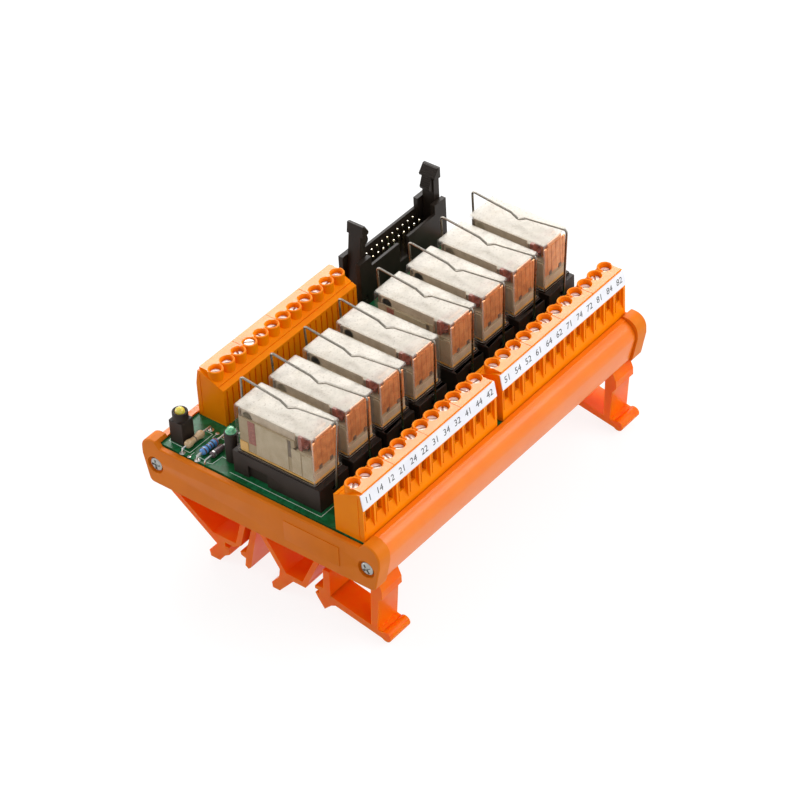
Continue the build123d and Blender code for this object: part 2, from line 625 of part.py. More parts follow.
def make_header_body():
    """Box header: walled trough with key slots and a forked latch tower at each end."""
    z = BOARD_TOP
    body = block(HEADER_LEN, HEADER_W, HEADER_WALL_H, HEADER_X, HEADER_Y, z)
    for side in (-1, 1):
        tower_x = HEADER_X + side * (HEADER_LEN - TOWER_LEN) / 2
        body += block(TOWER_LEN, HEADER_W, TOWER_H, tower_x, HEADER_Y, z)
    body -= block(HEADER_LEN - 2 * TOWER_LEN, HEADER_W - 2 * HEADER_WALL, HEADER_WALL_H - HEADER_FLOOR,
                  HEADER_X, HEADER_Y, z + HEADER_FLOOR)
    body -= block(KEY_W, HEADER_WALL, KEY_DEEP, HEADER_X, HEADER_Y - (HEADER_W - HEADER_WALL) / 2,
                  z + HEADER_WALL_H - KEY_DEEP)
    slot_foot = LATCH_PIVOT_H - LATCH_STEM / 2 - LATCH_PLAY
    pivot_hole = LATCH_PIVOT_D + 2 * LATCH_PLAY
    for side in (-1, 1):
        tower_x = HEADER_X + side * (HEADER_LEN - TOWER_LEN) / 2
        body -= block(TOWER_LEN, HEADER_W - 2 * TOWER_CHEEK, TOWER_H - slot_foot,
                      tower_x, HEADER_Y, z + slot_foot)
        pivot = Plane((pivot_x(side), HEADER_Y - HEADER_W / 2, z + LATCH_PIVOT_H), z_dir=(0, 1, 0))
        body -= pivot * prism(LATCH_PIVOT_SIDES, pivot_hole, HEADER_W)
    return body


def pivot_x(side):
    """Latch pivot along X, at the header's -X or +X end."""
    return HEADER_X + side * (HEADER_LEN / 2 - LATCH_INSET - LATCH_STEM / 2)


def make_header_pins():
    """Two rows of square pins standing on the header's floor."""
    pins = []
    for column in range(HEADER_COLS):
        x = HEADER_X + (column - (HEADER_COLS - 1) / 2) * HEADER_PITCH
        for row in (-0.5, 0.5):
            pins.append(block(HEADER_PIN_W, HEADER_PIN_W, HEADER_PIN_TOP - HEADER_FLOOR,
                              x, HEADER_Y + row * HEADER_PITCH, BOARD_TOP + HEADER_FLOOR))
    return Compound(children=pins)


def make_latch(side):
    """Ejector latch: straight stem, sloped nose at the top, toe and pivot at the bottom."""
    outer = LATCH_STEM / 2
    nose = LATCH_NOSE - outer
    slope_top = LATCH_TOP - (LATCH_NOSE - LATCH_STEM * 0.4)
    profile = [(outer, LATCH_PIVOT_H), (outer, LATCH_TOP), (outer - LATCH_STEM * 0.4, LATCH_TOP),
               (-nose, slope_top), (-nose, LATCH_NOSE_H), (-outer, LATCH_NOSE_H - LATCH_NOSE + LATCH_STEM),
               (-outer, LATCH_TOE_H), (-outer - LATCH_TOE, LATCH_TOE_H),
               (-outer - LATCH_TOE, LATCH_PIVOT_H), (-outer, LATCH_PIVOT_H)]
    width = HEADER_W - 2 * TOWER_CHEEK - 2 * LATCH_PLAY
    across = Plane((0, -width / 2, LATCH_PIVOT_H), z_dir=(0, 1, 0))
    latch = along_y([(side * x, z) for x, z in profile], 0, width)
    latch += across * rod(2 * outer, width)
    pin_len = HEADER_W - 2 * LATCH_PLAY
    pin = Plane((0, -pin_len / 2, LATCH_PIVOT_H), z_dir=(0, 1, 0))
    latch += pin * prism(LATCH_PIVOT_SIDES, LATCH_PIVOT_D, pin_len)
    lean = LATCH_LEAN if side < 0 else 0
    place = Pos(pivot_x(side), HEADER_Y, BOARD_TOP + LATCH_PIVOT_H) * Rot(0, lean, 0)
    return place * Pos(0, 0, -LATCH_PIVOT_H) * latch


def make_lamp(x, y, z):
    """Small lamp with a bevelled lens."""
    lens = prism(LAMP_SIDES, LAMP_D, LAMP_H)
    lens = chamfer(lens.faces().sort_by(Axis.Z)[-1].edges(), LAMP_EDGE)
    return Pos(x, y, z) * lens


def make_axial(body, body_len, body_r, x, y):
    """An axial part lying along X on the board, its leads bent down to the pads."""
    axis_z = LEAD_RISE + body_r
    half = LEAD_D / 2
    part = Pos(BODY_SHIFT, 0, 0) * body
    for side in (-1, 1):
        near = BODY_SHIFT + side * body_len / 2
        far = side * (LEAD_SPAN / 2 + half)
        inner = side * (LEAD_SPAN / 2 - half)
        lead = along_y([(near, axis_z - half), (inner, axis_z - half), (inner, 0), (far, 0),
                        (far, axis_z + half), (near, axis_z + half)], 0, LEAD_D)
        part += lead
    return Pos(x, y, BOARD_TOP) * part


def lying(sides, diameter, length, axis_z):
    """A prism lying along X, centred on the origin in X."""
    return Plane((-length / 2, 0, axis_z), x_dir=(0, 1, 0), z_dir=(1, 0, 0)) * prism(sides, diameter, length)


def make_beige_resistor():
    """Dog-bone resistor: a slim middle between two thicker ends."""
    axis_z = LEAD_RISE + BEIGE_D / 2
    body = lying(2 * LAMP_SIDES, BEIGE_D - 2 * BEIGE_NECK, BEIGE_LEN, axis_z)
    cap_x = (BEIGE_LEN - BEIGE_CAP_LEN) / 2
    for side in (-1, 1):
        body += Pos(side * cap_x, 0, 0) * lying(2 * LAMP_SIDES, BEIGE_D, BEIGE_CAP_LEN, axis_z)
    return make_axial(body, BEIGE_LEN, BEIGE_D / 2, relay_x(0) + DIODE_X, BEIGE_Y)


def make_blue_resistor():
    """Straight metal film resistor."""
    body = lying(2 * LAMP_SIDES, BLUE_D, BLUE_LEN, LEAD_RISE + BLUE_D / 2)
    return make_axial(body, BLUE_LEN, BLUE_D / 2, relay_x(0) + DIODE_X, BLUE_Y)


def make_diodes():
    """One protecting diode beside each relay."""
    body = lying(LAMP_SIDES, DIODE_D, DIODE_LEN, LEAD_RISE + DIODE_D / 2)
    return Compound(children=[make_axial(body, DIODE_LEN, DIODE_D / 2, relay_x(i) + DIODE_X, DIODE_Y)
                              for i in range(RELAY_COUNT)])


def main():
    """Write every sub-part."""
    os.makedirs("parts", exist_ok=True)
    save("profile_tray", make_tray())
    save("circuit_board", make_board())
    save("end_plate_near", make_end_plate(-1))
    save("end_plate_far", make_end_plate(1))
    save("end_plate_screws", make_plate_screws())
    save("rail_foot_near", make_rail_foot(-TRAY_END + FOOT_INSET))
    save("rail_foot_far", make_rail_foot(TRAY_END - FOOT_INSET - FOOT_W))

    housing = make_terminal_block()
    places = {"output_block_a": (-BLOCK_SPLIT - BLOCK_LEN, False), "output_block_b": (BLOCK_SPLIT, False),
              "input_block": (INPUT_START, True)}
    clamp = make_clamp()
    seated = make_terminal_screw(0)
    raised = make_terminal_screw(RAISED_BY)
    screws = []
    clamps = []
    seat = POCKET_H - CLAMP_PLAY
    for node, (start, turned) in places.items():
        save(node, in_block(housing, start, turned))
        for pole in range(POLES):
            is_raised = turned and pole == POLES - 1 - RAISED_SCREW
            screw = raised if is_raised else seated
            screws.append(in_block(Pos(pole_x(pole), BOSS_Y, seat) * screw, start, turned))
            clamps.append(in_block(Pos(pole_x(pole), POCKET_Y + POCKET_D / 2, 0) * clamp, start, turned))
    save("terminal_screws", Compound(children=screws))
    save("terminal_clamps", Compound(children=clamps))
    save("label_strip_a", in_block(make_label(), *places["output_block_a"]))
    save("label_strip_b", in_block(make_label(), *places["output_block_b"]))

    for index in range(RELAY_COUNT):
        number = str(index + 1)
        x = relay_x(index)
        save("relay_socket_" + number, make_socket(x))
        save("relay_cover_" + number, make_cover(x))
        save("relay_frame_" + number, make_frame(x))
        save("relay_clip_" + number, make_clip(x, CLIP_LEANS[index]))
    save("relay_yokes", make_yokes())
    save("relay_contacts", make_contacts())

    save("header_body", make_header_body())
    save("header_pins", make_header_pins())
    save("header_latch_left", make_latch(-1))
    save("header_latch_right", make_latch(1))

    seat = BOARD_TOP + POWER_BLOCK_H
    holder = block(POWER_BLOCK_W, POWER_BLOCK_W, POWER_BLOCK_H, POWER_X, POWER_Y, BOARD_TOP)
    holder += prism(2 * LAMP_SIDES, COLLAR_D, COLLAR_H, POWER_X, POWER_Y, seat)
    save("power_lamp_block", holder)
    save("power_lamp", make_lamp(POWER_X, POWER_Y, seat + COLLAR_H))
    spots = [relay_x(i) + RELAY_LAMP_X for i in range(RELAY_COUNT)]
    spacers = [prism(LAMP_SIDES, SPACER_D, SPACER_H, x, RELAY_LAMP_Y, BOARD_TOP) for x in spots]
    save("relay_lamp_spacers", Compound(children=spacers))
    lamps = [make_lamp(x, RELAY_LAMP_Y, BOARD_TOP + SPACER_H) for x in spots]
    save("relay_lamps", Compound(children=lamps))
    save("beige_resistor", make_beige_resistor())
    save("blue_resistor", make_blue_resistor())
    save("diodes", make_diodes())


main()
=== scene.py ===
"""Dressed model of a relay module board on a rail carrier.

Drawing helpers work in millimetres in the frame's axes; place() turns them into metres.
"""
import math

import bmesh
import bpy
from mathutils import Matrix, Vector


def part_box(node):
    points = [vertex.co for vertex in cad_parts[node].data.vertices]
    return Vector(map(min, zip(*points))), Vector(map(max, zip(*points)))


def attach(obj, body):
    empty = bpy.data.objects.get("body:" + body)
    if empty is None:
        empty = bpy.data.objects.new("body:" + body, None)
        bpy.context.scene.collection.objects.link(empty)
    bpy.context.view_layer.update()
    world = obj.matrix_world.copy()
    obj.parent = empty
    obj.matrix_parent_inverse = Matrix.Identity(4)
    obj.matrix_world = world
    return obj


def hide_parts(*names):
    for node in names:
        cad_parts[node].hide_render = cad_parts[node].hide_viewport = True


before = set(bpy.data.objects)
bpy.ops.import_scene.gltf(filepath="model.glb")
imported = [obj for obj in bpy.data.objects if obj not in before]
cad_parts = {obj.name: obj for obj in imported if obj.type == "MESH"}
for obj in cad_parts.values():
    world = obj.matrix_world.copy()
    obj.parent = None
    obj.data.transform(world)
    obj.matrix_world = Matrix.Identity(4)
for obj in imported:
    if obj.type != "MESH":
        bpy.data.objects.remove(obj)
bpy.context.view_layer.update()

MM = 0.001
UP = Vector((0, 0, 1))

# Terminal blocks, from their front lower corner: y runs back, z up
POLES = 12
PITCH = 5.08
BLOCK_END = 0.3
BLOCK_DEEP = 10.4
LABEL_FOOT = 11.7
LABEL_HEAD = 16.8
LABEL_LEAN = 0.9
BACK_TOP = 13.1
DECK_TOP = 17.5
DECK_INSET = 0.9
BOSS_Y = 5.4
BOSS_R = 2.47
BOSS_TOP = 17.5  # flush with the deck
RIM_R = 0.31  # raised rims round the back halves of the funnels
RIM_STEP = 15  # degrees between two points of a rim
RIM_STEPS = 14
FUNNEL_R = 1.85
FUNNEL_LIP = 0.35
RECESS = (3.7, 1.0, 3.0, 5.4, 11.1)  # width, depth, foot, sill, top
WIRE_SLOT = (2.7, 4.4, 6.0)  # width, height, foot
POCKET = (3.9, 2.6, 5.6, 12.4)  # width, front, depth, height
BACK_GROOVE = (0.5, 0.5, 12.3)  # width, depth, height
GROOVE_SHIFT = PITCH / 4
SEAM = (0.18, 0.35)  # width, depth of the seams between groups of three poles
LEDGE_GROOVE = (1.85, 1.6, 0.35)  # from and to the back face, floor over the back edge
END_SLIT = (1.5, 1.8, 0.15)  # front, back, depth
SCREW_SEAT = 14.8  # heads in the funnels, on shanks down to the clamps
SCREW_R = 1.65
SCREW_HEAD = 1.5
SCREW_FOOT = 12.2
SCREW_SHANK_R = 1.1
SCREW_SLOT = (0.64, 0.7)  # width, depth
RAISED_POLE = 8
RAISED_BY = 1.1
DIGIT_HEIGHT = 2.1
DIGIT_RISE = 0.31

# Screws of the end plates
HEAD_R = 2.25
HEAD_H = 0.8
HEAD_SEAT = 1.3  # under the heads, from the screws' outer ends
SHANK_R = 1.3
SHANK_LENGTH = 9
CROSS = (1.6, 0.36, 0.3)  # reach, half width, floor

# Relays
RELAYS = range(1, 9)
WALL = 0.45
COVER_EDGE = 0.7
COVER_TOP_EDGE = 0.55
WIRE_R = 0.36
CLIP_LEANS = (0, -4.5, -5.2, -3.7, -3.3, -3.6, -2.8, -2.1)  # degrees, as the CAD clips
CLIP_PIVOT = 5.0  # these four are heights over the board
CLIP_TOP = 30.3
CLIP_SHOULDER = 28.4
CLIP_DIP = 26.8
CLIP_DIP_HALF = 2.9
CLIP_HOOK = 1.8

# Header
LATCH_LEAN = 7.0
LATCH_PIVOT = 3.0
LATCH_INSET = 2.0
LATCH_HEAD = ((0.4, 27.9), (-1.8, 25.2))  # ends of the two ribbed slopes
LATCH_NOSE = ((-1.8, 25.2), (-3.2, 21.5))
RIB_R = 0.2
PIN_COLUMNS = 10
PIN_PITCH = 2.54
PIN_HALF = 0.32
PIN_TIP = 0.5

# Small parts
LAMP_X = -2.6  # relay lamps from their relay's middle
PADS_X = -2.7  # middle of the diodes' pads from their relay's middle
LAMP_SEAT = 7.8  # collar of the power lamp from its block's foot
LEAD_SPAN = 12.7
LEAD_RISE = 0.2
LEAD_R = 0.3
BODY_SHIFT = -0.9

# Printed lines
PRINT_WIDTH = 0.2
PRINT_RISE = 0.03
CORNER_PRINT = ((-62.0, 21.3), (-61.5, 19.7), (-57.4, 19.3), (-57.6, 15.4))
SMALL_PADS = ((-62.9, 1), (-50.3, -1))  # x, direction of the line beside it
SMALL_PADS_Y = 27.3


def box_of(node):
    """Lowest and highest corner of a CAD node in millimetres."""
    low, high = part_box(node)
    return Vector(low) / MM, Vector(high) / MM


def middle_of(node):
    """Middle of a CAD node in plan."""
    low, high = box_of(node)
    return (low.x + high.x) / 2, (low.y + high.y) / 2


BOARD_TOP = box_of("circuit_board")[1].z


# Drawing helpers

def added(name, data):
    """A new object in the scene, made of the given data."""
    obj = bpy.data.objects.new(name, data)
    bpy.context.scene.collection.objects.link(obj)
    return obj


def mesh_of(bm, name="work"):
    """A mesh made of a bmesh, which is freed."""
    mesh = bpy.data.meshes.new(name)
    bm.to_mesh(mesh)
    bm.free()
    return mesh


def extruded(outline, along):
    """A closed prism from an outline and the vector that it is pulled along."""
    bm = bmesh.new()
    along = Vector(along)
    low = [bm.verts.new(p) for p in outline]
    high = [bm.verts.new(Vector(p) + along) for p in outline]
    count = len(outline)
    bm.faces.new(low)
    bm.faces.new(high)
    for i in range(count):
        j = (i + 1) % count
        bm.faces.new((low[i], low[j], high[j], high[i]))
    bmesh.ops.recalc_face_normals(bm, faces=bm.faces)
    return bm


def brick(x, y, z):
    """A box from three (low, high) pairs."""
    outline = [(x[0], y[0], z[0]), (x[1], y[0], z[0]), (x[1], y[1], z[0]), (x[0], y[1], z[0])]
    return extruded(outline, (0, 0, z[1] - z[0]))


def disc_points(radius, sides, z=0.0, turn=0.0):
    """Points of a regular polygon about the Z axis."""
    step = 2 * math.pi / sides
    return [(radius * math.cos(turn + i * step), radius * math.sin(turn + i * step), z) for i in range(sides)]


def lathe(profile, sides=32):
    """A solid of revolution about Z from (radius, height) points, both ends on the axis."""
    bm = bmesh.new()
    rings = []
    for radius, z in profile:
        if radius < 1e-6:
            rings.append([bm.verts.new((0, 0, z))])
        else:
            rings.append([bm.verts.new(p) for p in disc_points(radius, sides, z)])
    for a, b in zip(rings, rings[1:]):
        for i in range(sides):
            j = (i + 1) % sides
            corners = [a[i % len(a)], a[j % len(a)], b[j % len(b)], b[i % len(b)]]
            unique = list(dict.fromkeys(corners))
            if len(unique) > 2:
                bm.faces.new(unique)
    bmesh.ops.recalc_face_normals(bm, faces=bm.faces)
    return bm


def moved(bm, matrix):
    """A mesh after a transform, or a shift when given a vector."""
    if not isinstance(matrix, Matrix):
        matrix = Matrix.Translation(Vector(matrix))
    bmesh.ops.transform(bm, matrix=matrix, verts=bm.verts)
    return bm


def joined(parts):
    """Several meshes in one."""
    result = bmesh.new()
    for part in parts:
        mesh = mesh_of(part)
        result.from_mesh(mesh)
        bpy.data.meshes.remove(mesh)
    return result


def carved(base, steps):
    """A mesh after boolean steps, each an operation name and a mesh."""
    body = added("work", mesh_of(base))
    tools = []
    for operation, bm in steps:
        tool = added("work", mesh_of(bm))
        tools.append(tool)
        cut = body.modifiers.new("cut", "BOOLEAN")
        cut.operation = operation
        cut.solver = "EXACT"
        cut.object = tool
    graph = bpy.context.evaluated_depsgraph_get()
    mesh = bpy.data.meshes.new_from_object(body.evaluated_get(graph))
    for obj in [body] + tools:
        old = obj.data
        bpy.data.objects.remove(obj)
        bpy.data.meshes.remove(old)
    result = bmesh.new()
    result.from_mesh(mesh)
    bpy.data.meshes.remove(mesh)
    bmesh.ops.remove_doubles(result, verts=result.verts, dist=0.001)
    bmesh.ops.dissolve_limit(result, angle_limit=math.radians(0.5), verts=result.verts, edges=result.edges)
    return result


def cad_copy(node):
    """A CAD node's mesh in millimetres, with its flat faces whole."""
    bm = bmesh.new()
    bm.from_mesh(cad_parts[node].data)
    moved(bm, Matrix.Scale(1 / MM, 4))
    bmesh.ops.remove_doubles(bm, verts=bm.verts, dist=0.002)
    bmesh.ops.dissolve_limit(bm, angle_limit=math.radians(1.0), verts=bm.verts, edges=bm.edges)
    return bm


def rounded_path(points, radius, steps=5):
    """Points of a bent line whose inner corners are arcs."""
    points = [Vector(p) for p in points]
    path = [points[0]]
    for before, corner, after in zip(points, points[1:], points[2:]):
        to_before = (before - corner).normalized()
        to_after = (after - corner).normalized()
        half = to_before.angle(to_after) / 2
        reach = min(radius / math.tan(half), (before - corner).length * 0.45, (after - corner).length * 0.45)
        start = corner + to_before * reach
        end = corner + to_after * reach
        for i in range(steps + 1):
            t = i / steps
            path.append(start * (1 - t) ** 2 + corner * 2 * t * (1 - t) + end * t ** 2)
    path.append(points[-1])
    return path


def wire(points, radius, sides=10):
    """A round wire along a bent line, closed at both ends."""
    bm = bmesh.new()
    rings = []
    normal = None
    for i, point in enumerate(points):
        ahead = points[min(i + 1, len(points) - 1)] - point
        behind = point - points[max(i - 1, 0)]
        tangent = (ahead.normalized() + behind.normalized()).normalized()
        if normal is None:
            normal = tangent.orthogonal().normalized()
        normal = (normal - tangent * normal.dot(tangent)).normalized()
        side = tangent.cross(normal)
        ring = []
        for k in range(sides):
            turn = 2 * math.pi * k / sides
            ring.append(bm.verts.new(point + (normal * math.cos(turn) + side * math.sin(turn)) * radius))
        rings.append(ring)
    for a, b in zip(rings, rings[1:]):
        for k in range(sides):
            m = (k + 1) % sides
            bm.faces.new((a[k], a[m], b[m], b[k]))
    bm.faces.new(rings[0])
    bm.faces.new(rings[-1])
    bmesh.ops.recalc_face_normals(bm, faces=bm.faces)
    return bm


def place(name, bm, material, body="module", replaces=(), bevel=0.0, smooth=35.0):
    """Make a piece of a mesh in millimetres, bevelled and shaded, and hang it on its body."""
    mesh = mesh_of(moved(bm, Matrix.Scale(MM, 4)), name)
    piece = added(name, mesh)
    mesh.materials.append(material)
    mesh.shade_smooth()
    if bevel:
        edge = piece.modifiers.new("edge", "BEVEL")
        edge.width = bevel * MM
        edge.segments = 2
        edge.limit_method = "ANGLE"
        edge.angle_limit = math.radians(smooth)
        edge.harden_normals = True
    mesh.set_sharp_from_angle(angle=math.radians(smooth))
    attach(piece, body)
    if replaces:
        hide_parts(*replaces)
    return piece


def dressed(node, material, bevel):
    """A CAD node with softened edges in its own material."""
    place(node + "_dressed", cad_copy(node), material, replaces=(node,), bevel=bevel)


# Materials

def ramped(tree, value, low=0.0, high=1.0, to_low=0.0, to_high=1.0):
    """A value brought from one range to another by a node."""
    node = tree.nodes.new("ShaderNodeMapRange")
    for socket, level in (("From Min", low), ("From Max", high), ("To Min", to_low), ("To Max", to_high)):
        node.inputs[socket].default_value = level
    tree.links.new(value, node.inputs["Value"])
    return node.outputs["Result"]


class Surface:
    """A principled material with a few procedural layers."""

    def __init__(self, name, color, rough, metallic=0.0, **sockets):
        self.material = bpy.data.materials.new(name)
        self.material.use_nodes = True
        self.tree = self.material.node_tree
        self.shader = self.tree.nodes["Principled BSDF"]
        self.color = color
        self.shader.inputs["Base Color"].default_value = (*color, 1)
        self.shader.inputs["Roughness"].default_value = rough
        self.shader.inputs["Metallic"].default_value = metallic
        for socket, value in sockets.items():
            self.shader.inputs[socket.replace("_", " ")].default_value = value
        self.coords = self.node("ShaderNodeTexCoord")

    def node(self, kind, **settings):
        """Add a node and set its properties."""
        node = self.tree.nodes.new(kind)
        for key, value in settings.items():
            setattr(node, key, value)
        return node

    def link(self, source, target):
        self.tree.links.new(source, target)

    def noise(self, size_mm, detail=3.0):
        """Noise whose lumps are about size_mm across."""
        noise = self.node("ShaderNodeTexNoise")
        noise.inputs["Scale"].default_value = 1 / (size_mm * MM)
        noise.inputs["Detail"].default_value = detail
        self.link(self.coords.outputs["Object"], noise.inputs["Vector"])
        return noise.outputs["Fac"]

    def shades(self, other, size_mm, low=0.35, high=0.65):
        """Vary the base colour towards another one."""
        mix = self.node("ShaderNodeMix", data_type="RGBA")
        mix.inputs["A"].default_value = (*self.color, 1)
        mix.inputs["B"].default_value = (*other, 1)
        self.link(ramped(self.tree, self.noise(size_mm), low, high), mix.inputs["Factor"])
        self.link(mix.outputs["Result"], self.shader.inputs["Base Color"])
        self.last_color = mix.outputs["Result"]
        return self

    def grain(self, size_mm, strength, depth_mm=0.02):
        """Fine moulding or drawing grain as a bump."""
        bump = self.node("ShaderNodeBump")
        bump.inputs["Strength"].default_value = strength
        bump.inputs["Distance"].default_value = depth_mm * MM
        self.link(self.noise(size_mm, 4.0), bump.inputs["Height"])
        self.link(bump.outputs["Normal"], self.shader.inputs["Normal"])
        return self

    def gloss(self, low, high, size_mm):
        """Vary the roughness between two values."""
        level = ramped(self.tree, self.noise(size_mm), to_low=low, to_high=high)
        self.link(level, self.shader.inputs["Roughness"])
        return self


def moulded(name, color, rough, specular, glow=0.1, reach=0.0015, radius=(1.0, 0.25, 0.08), **sockets):
    """Plastic that lets a little light in, as deep as reach."""
    surface = Surface(name, color, rough, Specular_IOR_Level=specular, Subsurface_Weight=glow,
                      Subsurface_Scale=reach, **sockets)
    surface.shader.inputs["Subsurface Radius"].default_value = radius
    return surface


def orange_plastic():
    surface = moulded("orange_plastic", (0.96, 0.22, 0.006), 0.3, 0.35, Coat_Weight=0.2, Coat_Roughness=0.12)
    return surface.shades((0.92, 0.195, 0.004), 14).gloss(0.26, 0.42, 5).grain(0.35, 0.1).material


def plate_plastic():
    surface = moulded("plate_plastic", (0.79, 0.195, 0.004), 0.45, 0.15)
    return surface.shades((0.73, 0.175, 0.003), 11).gloss(0.38, 0.54, 5).grain(0.35, 0.12).material


def terminal_plastic(name, specular):
    surface = moulded(name, (1.0, 0.275, 0.001), 0.36, specular, 0.15, radius=(1.0, 0.25, 0.05))
    return surface.shades((0.96, 0.235, 0.001), 9).gloss(0.26, 0.42, 4).grain(0.3, 0.1).material


def foot_plastic():
    surface = moulded("foot_plastic", (1.0, 0.18, 0.002), 0.4, 0.15, 0.7, 0.006, (1.0, 0.2, 0.03))
    return surface.shades((1.0, 0.14, 0.002), 8).gloss(0.3, 0.44, 4).grain(0.35, 0.1).material


def black_plastic():
    return Surface("black_plastic", (0.02, 0.0125, 0.0095), 0.5, Specular_IOR_Level=0.25).shades(
        (0.032, 0.022, 0.017), 6).gloss(0.42, 0.58, 3).grain(0.25, 0.2).material


def header_plastic():
    return Surface("header_plastic", (0.02, 0.014, 0.01), 0.38, Specular_IOR_Level=0.15).shades(
        (0.028, 0.02, 0.015), 6).gloss(0.3, 0.44, 3).grain(0.25, 0.12).material


def board_green():
    surface = Surface("board_green", (0.008, 0.11, 0.03), 0.3, Specular_IOR_Level=0.2, Coat_Weight=0.08,
                      Coat_Roughness=0.2)
    surface.shades((0.011, 0.16, 0.055), 2.4, 0.47, 0.53)
    return surface.gloss(0.22, 0.36, 4).grain(0.5, 0.15).material


def steel(name="steel", color=(0.72, 0.71, 0.69), rough=0.25):
    return Surface(name, color, rough, 1.0).shades(tuple(c * 0.8 for c in color), 1.5).gloss(
        rough - 0.06, rough + 0.12, 1.2).grain(0.2, 0.15, 0.01).material


def finish(name, color, other, size_mm, rough, metallic=0.0, grain=(), **sockets):
    """A surface of two shades and, where given, a grain's size and strength."""
    surface = Surface(name, color, rough, metallic, **sockets).shades(other, size_mm)
    if grain:
        surface.grain(*grain)
    return surface.material


def lens(name, color, other, size_mm):
    return finish(name, color, other, size_mm, 0.18, Subsurface_Weight=0.4, Subsurface_Scale=0.002,
                  Coat_Weight=0.5)


ORANGE = orange_plastic()
PLATE = plate_plastic()
TERMINAL = terminal_plastic("terminal_plastic", 0.07)
DECK = terminal_plastic("terminal_deck", 0.7)
FOOT = foot_plastic()
BLACK = black_plastic()
HEADER = header_plastic()
GREEN = board_green()
STEEL = steel()
WIRE = steel("spring_wire", (0.27, 0.245, 0.21), 0.26)
ZINC = steel("zinc_screw", (0.42, 0.42, 0.4), 0.3)
COPPER = finish("copper", (0.78, 0.32, 0.1), (0.6, 0.21, 0.06), 2.2, 0.36, 0.3, (0.3, 0.2))
SCREW = finish("terminal_screw", (0.86, 0.76, 0.69), (0.72, 0.63, 0.56), 0.8, 0.45, 0.35, (0.2, 0.2))
YOKE = finish("yoke_plate", (0.5, 0.45, 0.36), (0.4, 0.36, 0.28), 1.5, 0.6, 0.2, (0.2, 0.2))
RIM = finish("terminal_rim", (1.0, 0.28, 0.005), (1.0, 0.24, 0.003), 3, 0.5, Specular_IOR_Level=0.2)
GOLD = finish("pin_plate", (0.85, 0.74, 0.48), (0.8, 0.78, 0.7), 1.0, 0.22, 1.0)
CARD = finish("label_card", (0.93, 0.94, 0.98), (0.87, 0.88, 0.94), 4, 0.5, grain=(0.3, 0.08))
INK = finish("ink", (0.03, 0.03, 0.035), (0.06, 0.06, 0.065), 0.3, 0.6)
SILK = finish("silk_print", (0.72, 0.82, 0.74), (0.6, 0.72, 0.62), 0.6, 0.55)
SOLDER = finish("solder", (0.7, 0.7, 0.68), (0.55, 0.55, 0.52), 0.7, 0.3, 1.0, (0.4, 0.3))
BEIGE = finish("relay_beige", (0.5, 0.39, 0.25), (0.42, 0.32, 0.19), 4, 0.5, grain=(0.4, 0.12),
               Specular_IOR_Level=0.2)
CREAM = finish("relay_cream", (0.6, 0.49, 0.33), (0.52, 0.41, 0.26), 3, 0.45, grain=(0.4, 0.1),
               Specular_IOR_Level=0.25)
TAN = finish("relay_tan", (0.62, 0.5, 0.36), (0.5, 0.39, 0.27), 2, 0.45, grain=(0.4, 0.1))
# painted shade: a dark brown that stands in for the shade in the relays' gaps and in the beige resistor's
# waist
PAINTED_SHADE = finish("painted_shade", (0.2, 0.14, 0.09), (0.12, 0.08, 0.05), 1.5, 0.5)
AMBER = finish("relay_amber", (0.85, 0.5, 0.12), (0.75, 0.42, 0.1), 3, 0.35, grain=(0.4, 0.1))
COIL = finish("coil_winding", (0.42, 0.13, 0.09), (0.25, 0.06, 0.035), 0.5, 0.4, grain=(0.15, 0.4))
BEIGE_COAT = finish("beige_coat", (0.74, 0.53, 0.3), (0.6, 0.4, 0.2), 0.5, 0.35, grain=(0.3, 0.1),
                    Coat_Weight=0.3)
BLUE_COAT = finish("blue_coat", (0.1, 0.36, 0.8), (0.08, 0.26, 0.66), 1.5, 0.25, grain=(0.3, 0.1),
                   Coat_Weight=0.5)
GLAZE = finish("black_glaze", (0.09, 0.055, 0.065), (0.14, 0.09, 0.1), 1.0, 0.3, Coat_Weight=0.3)
YELLOW_LENS = lens("yellow_lens", (0.85, 0.72, 0.1), (0.75, 0.6, 0.06), 1.2)
GREEN_LENS = lens("green_lens", (0.1, 0.5, 0.25), (0.3, 0.75, 0.48), 0.6)


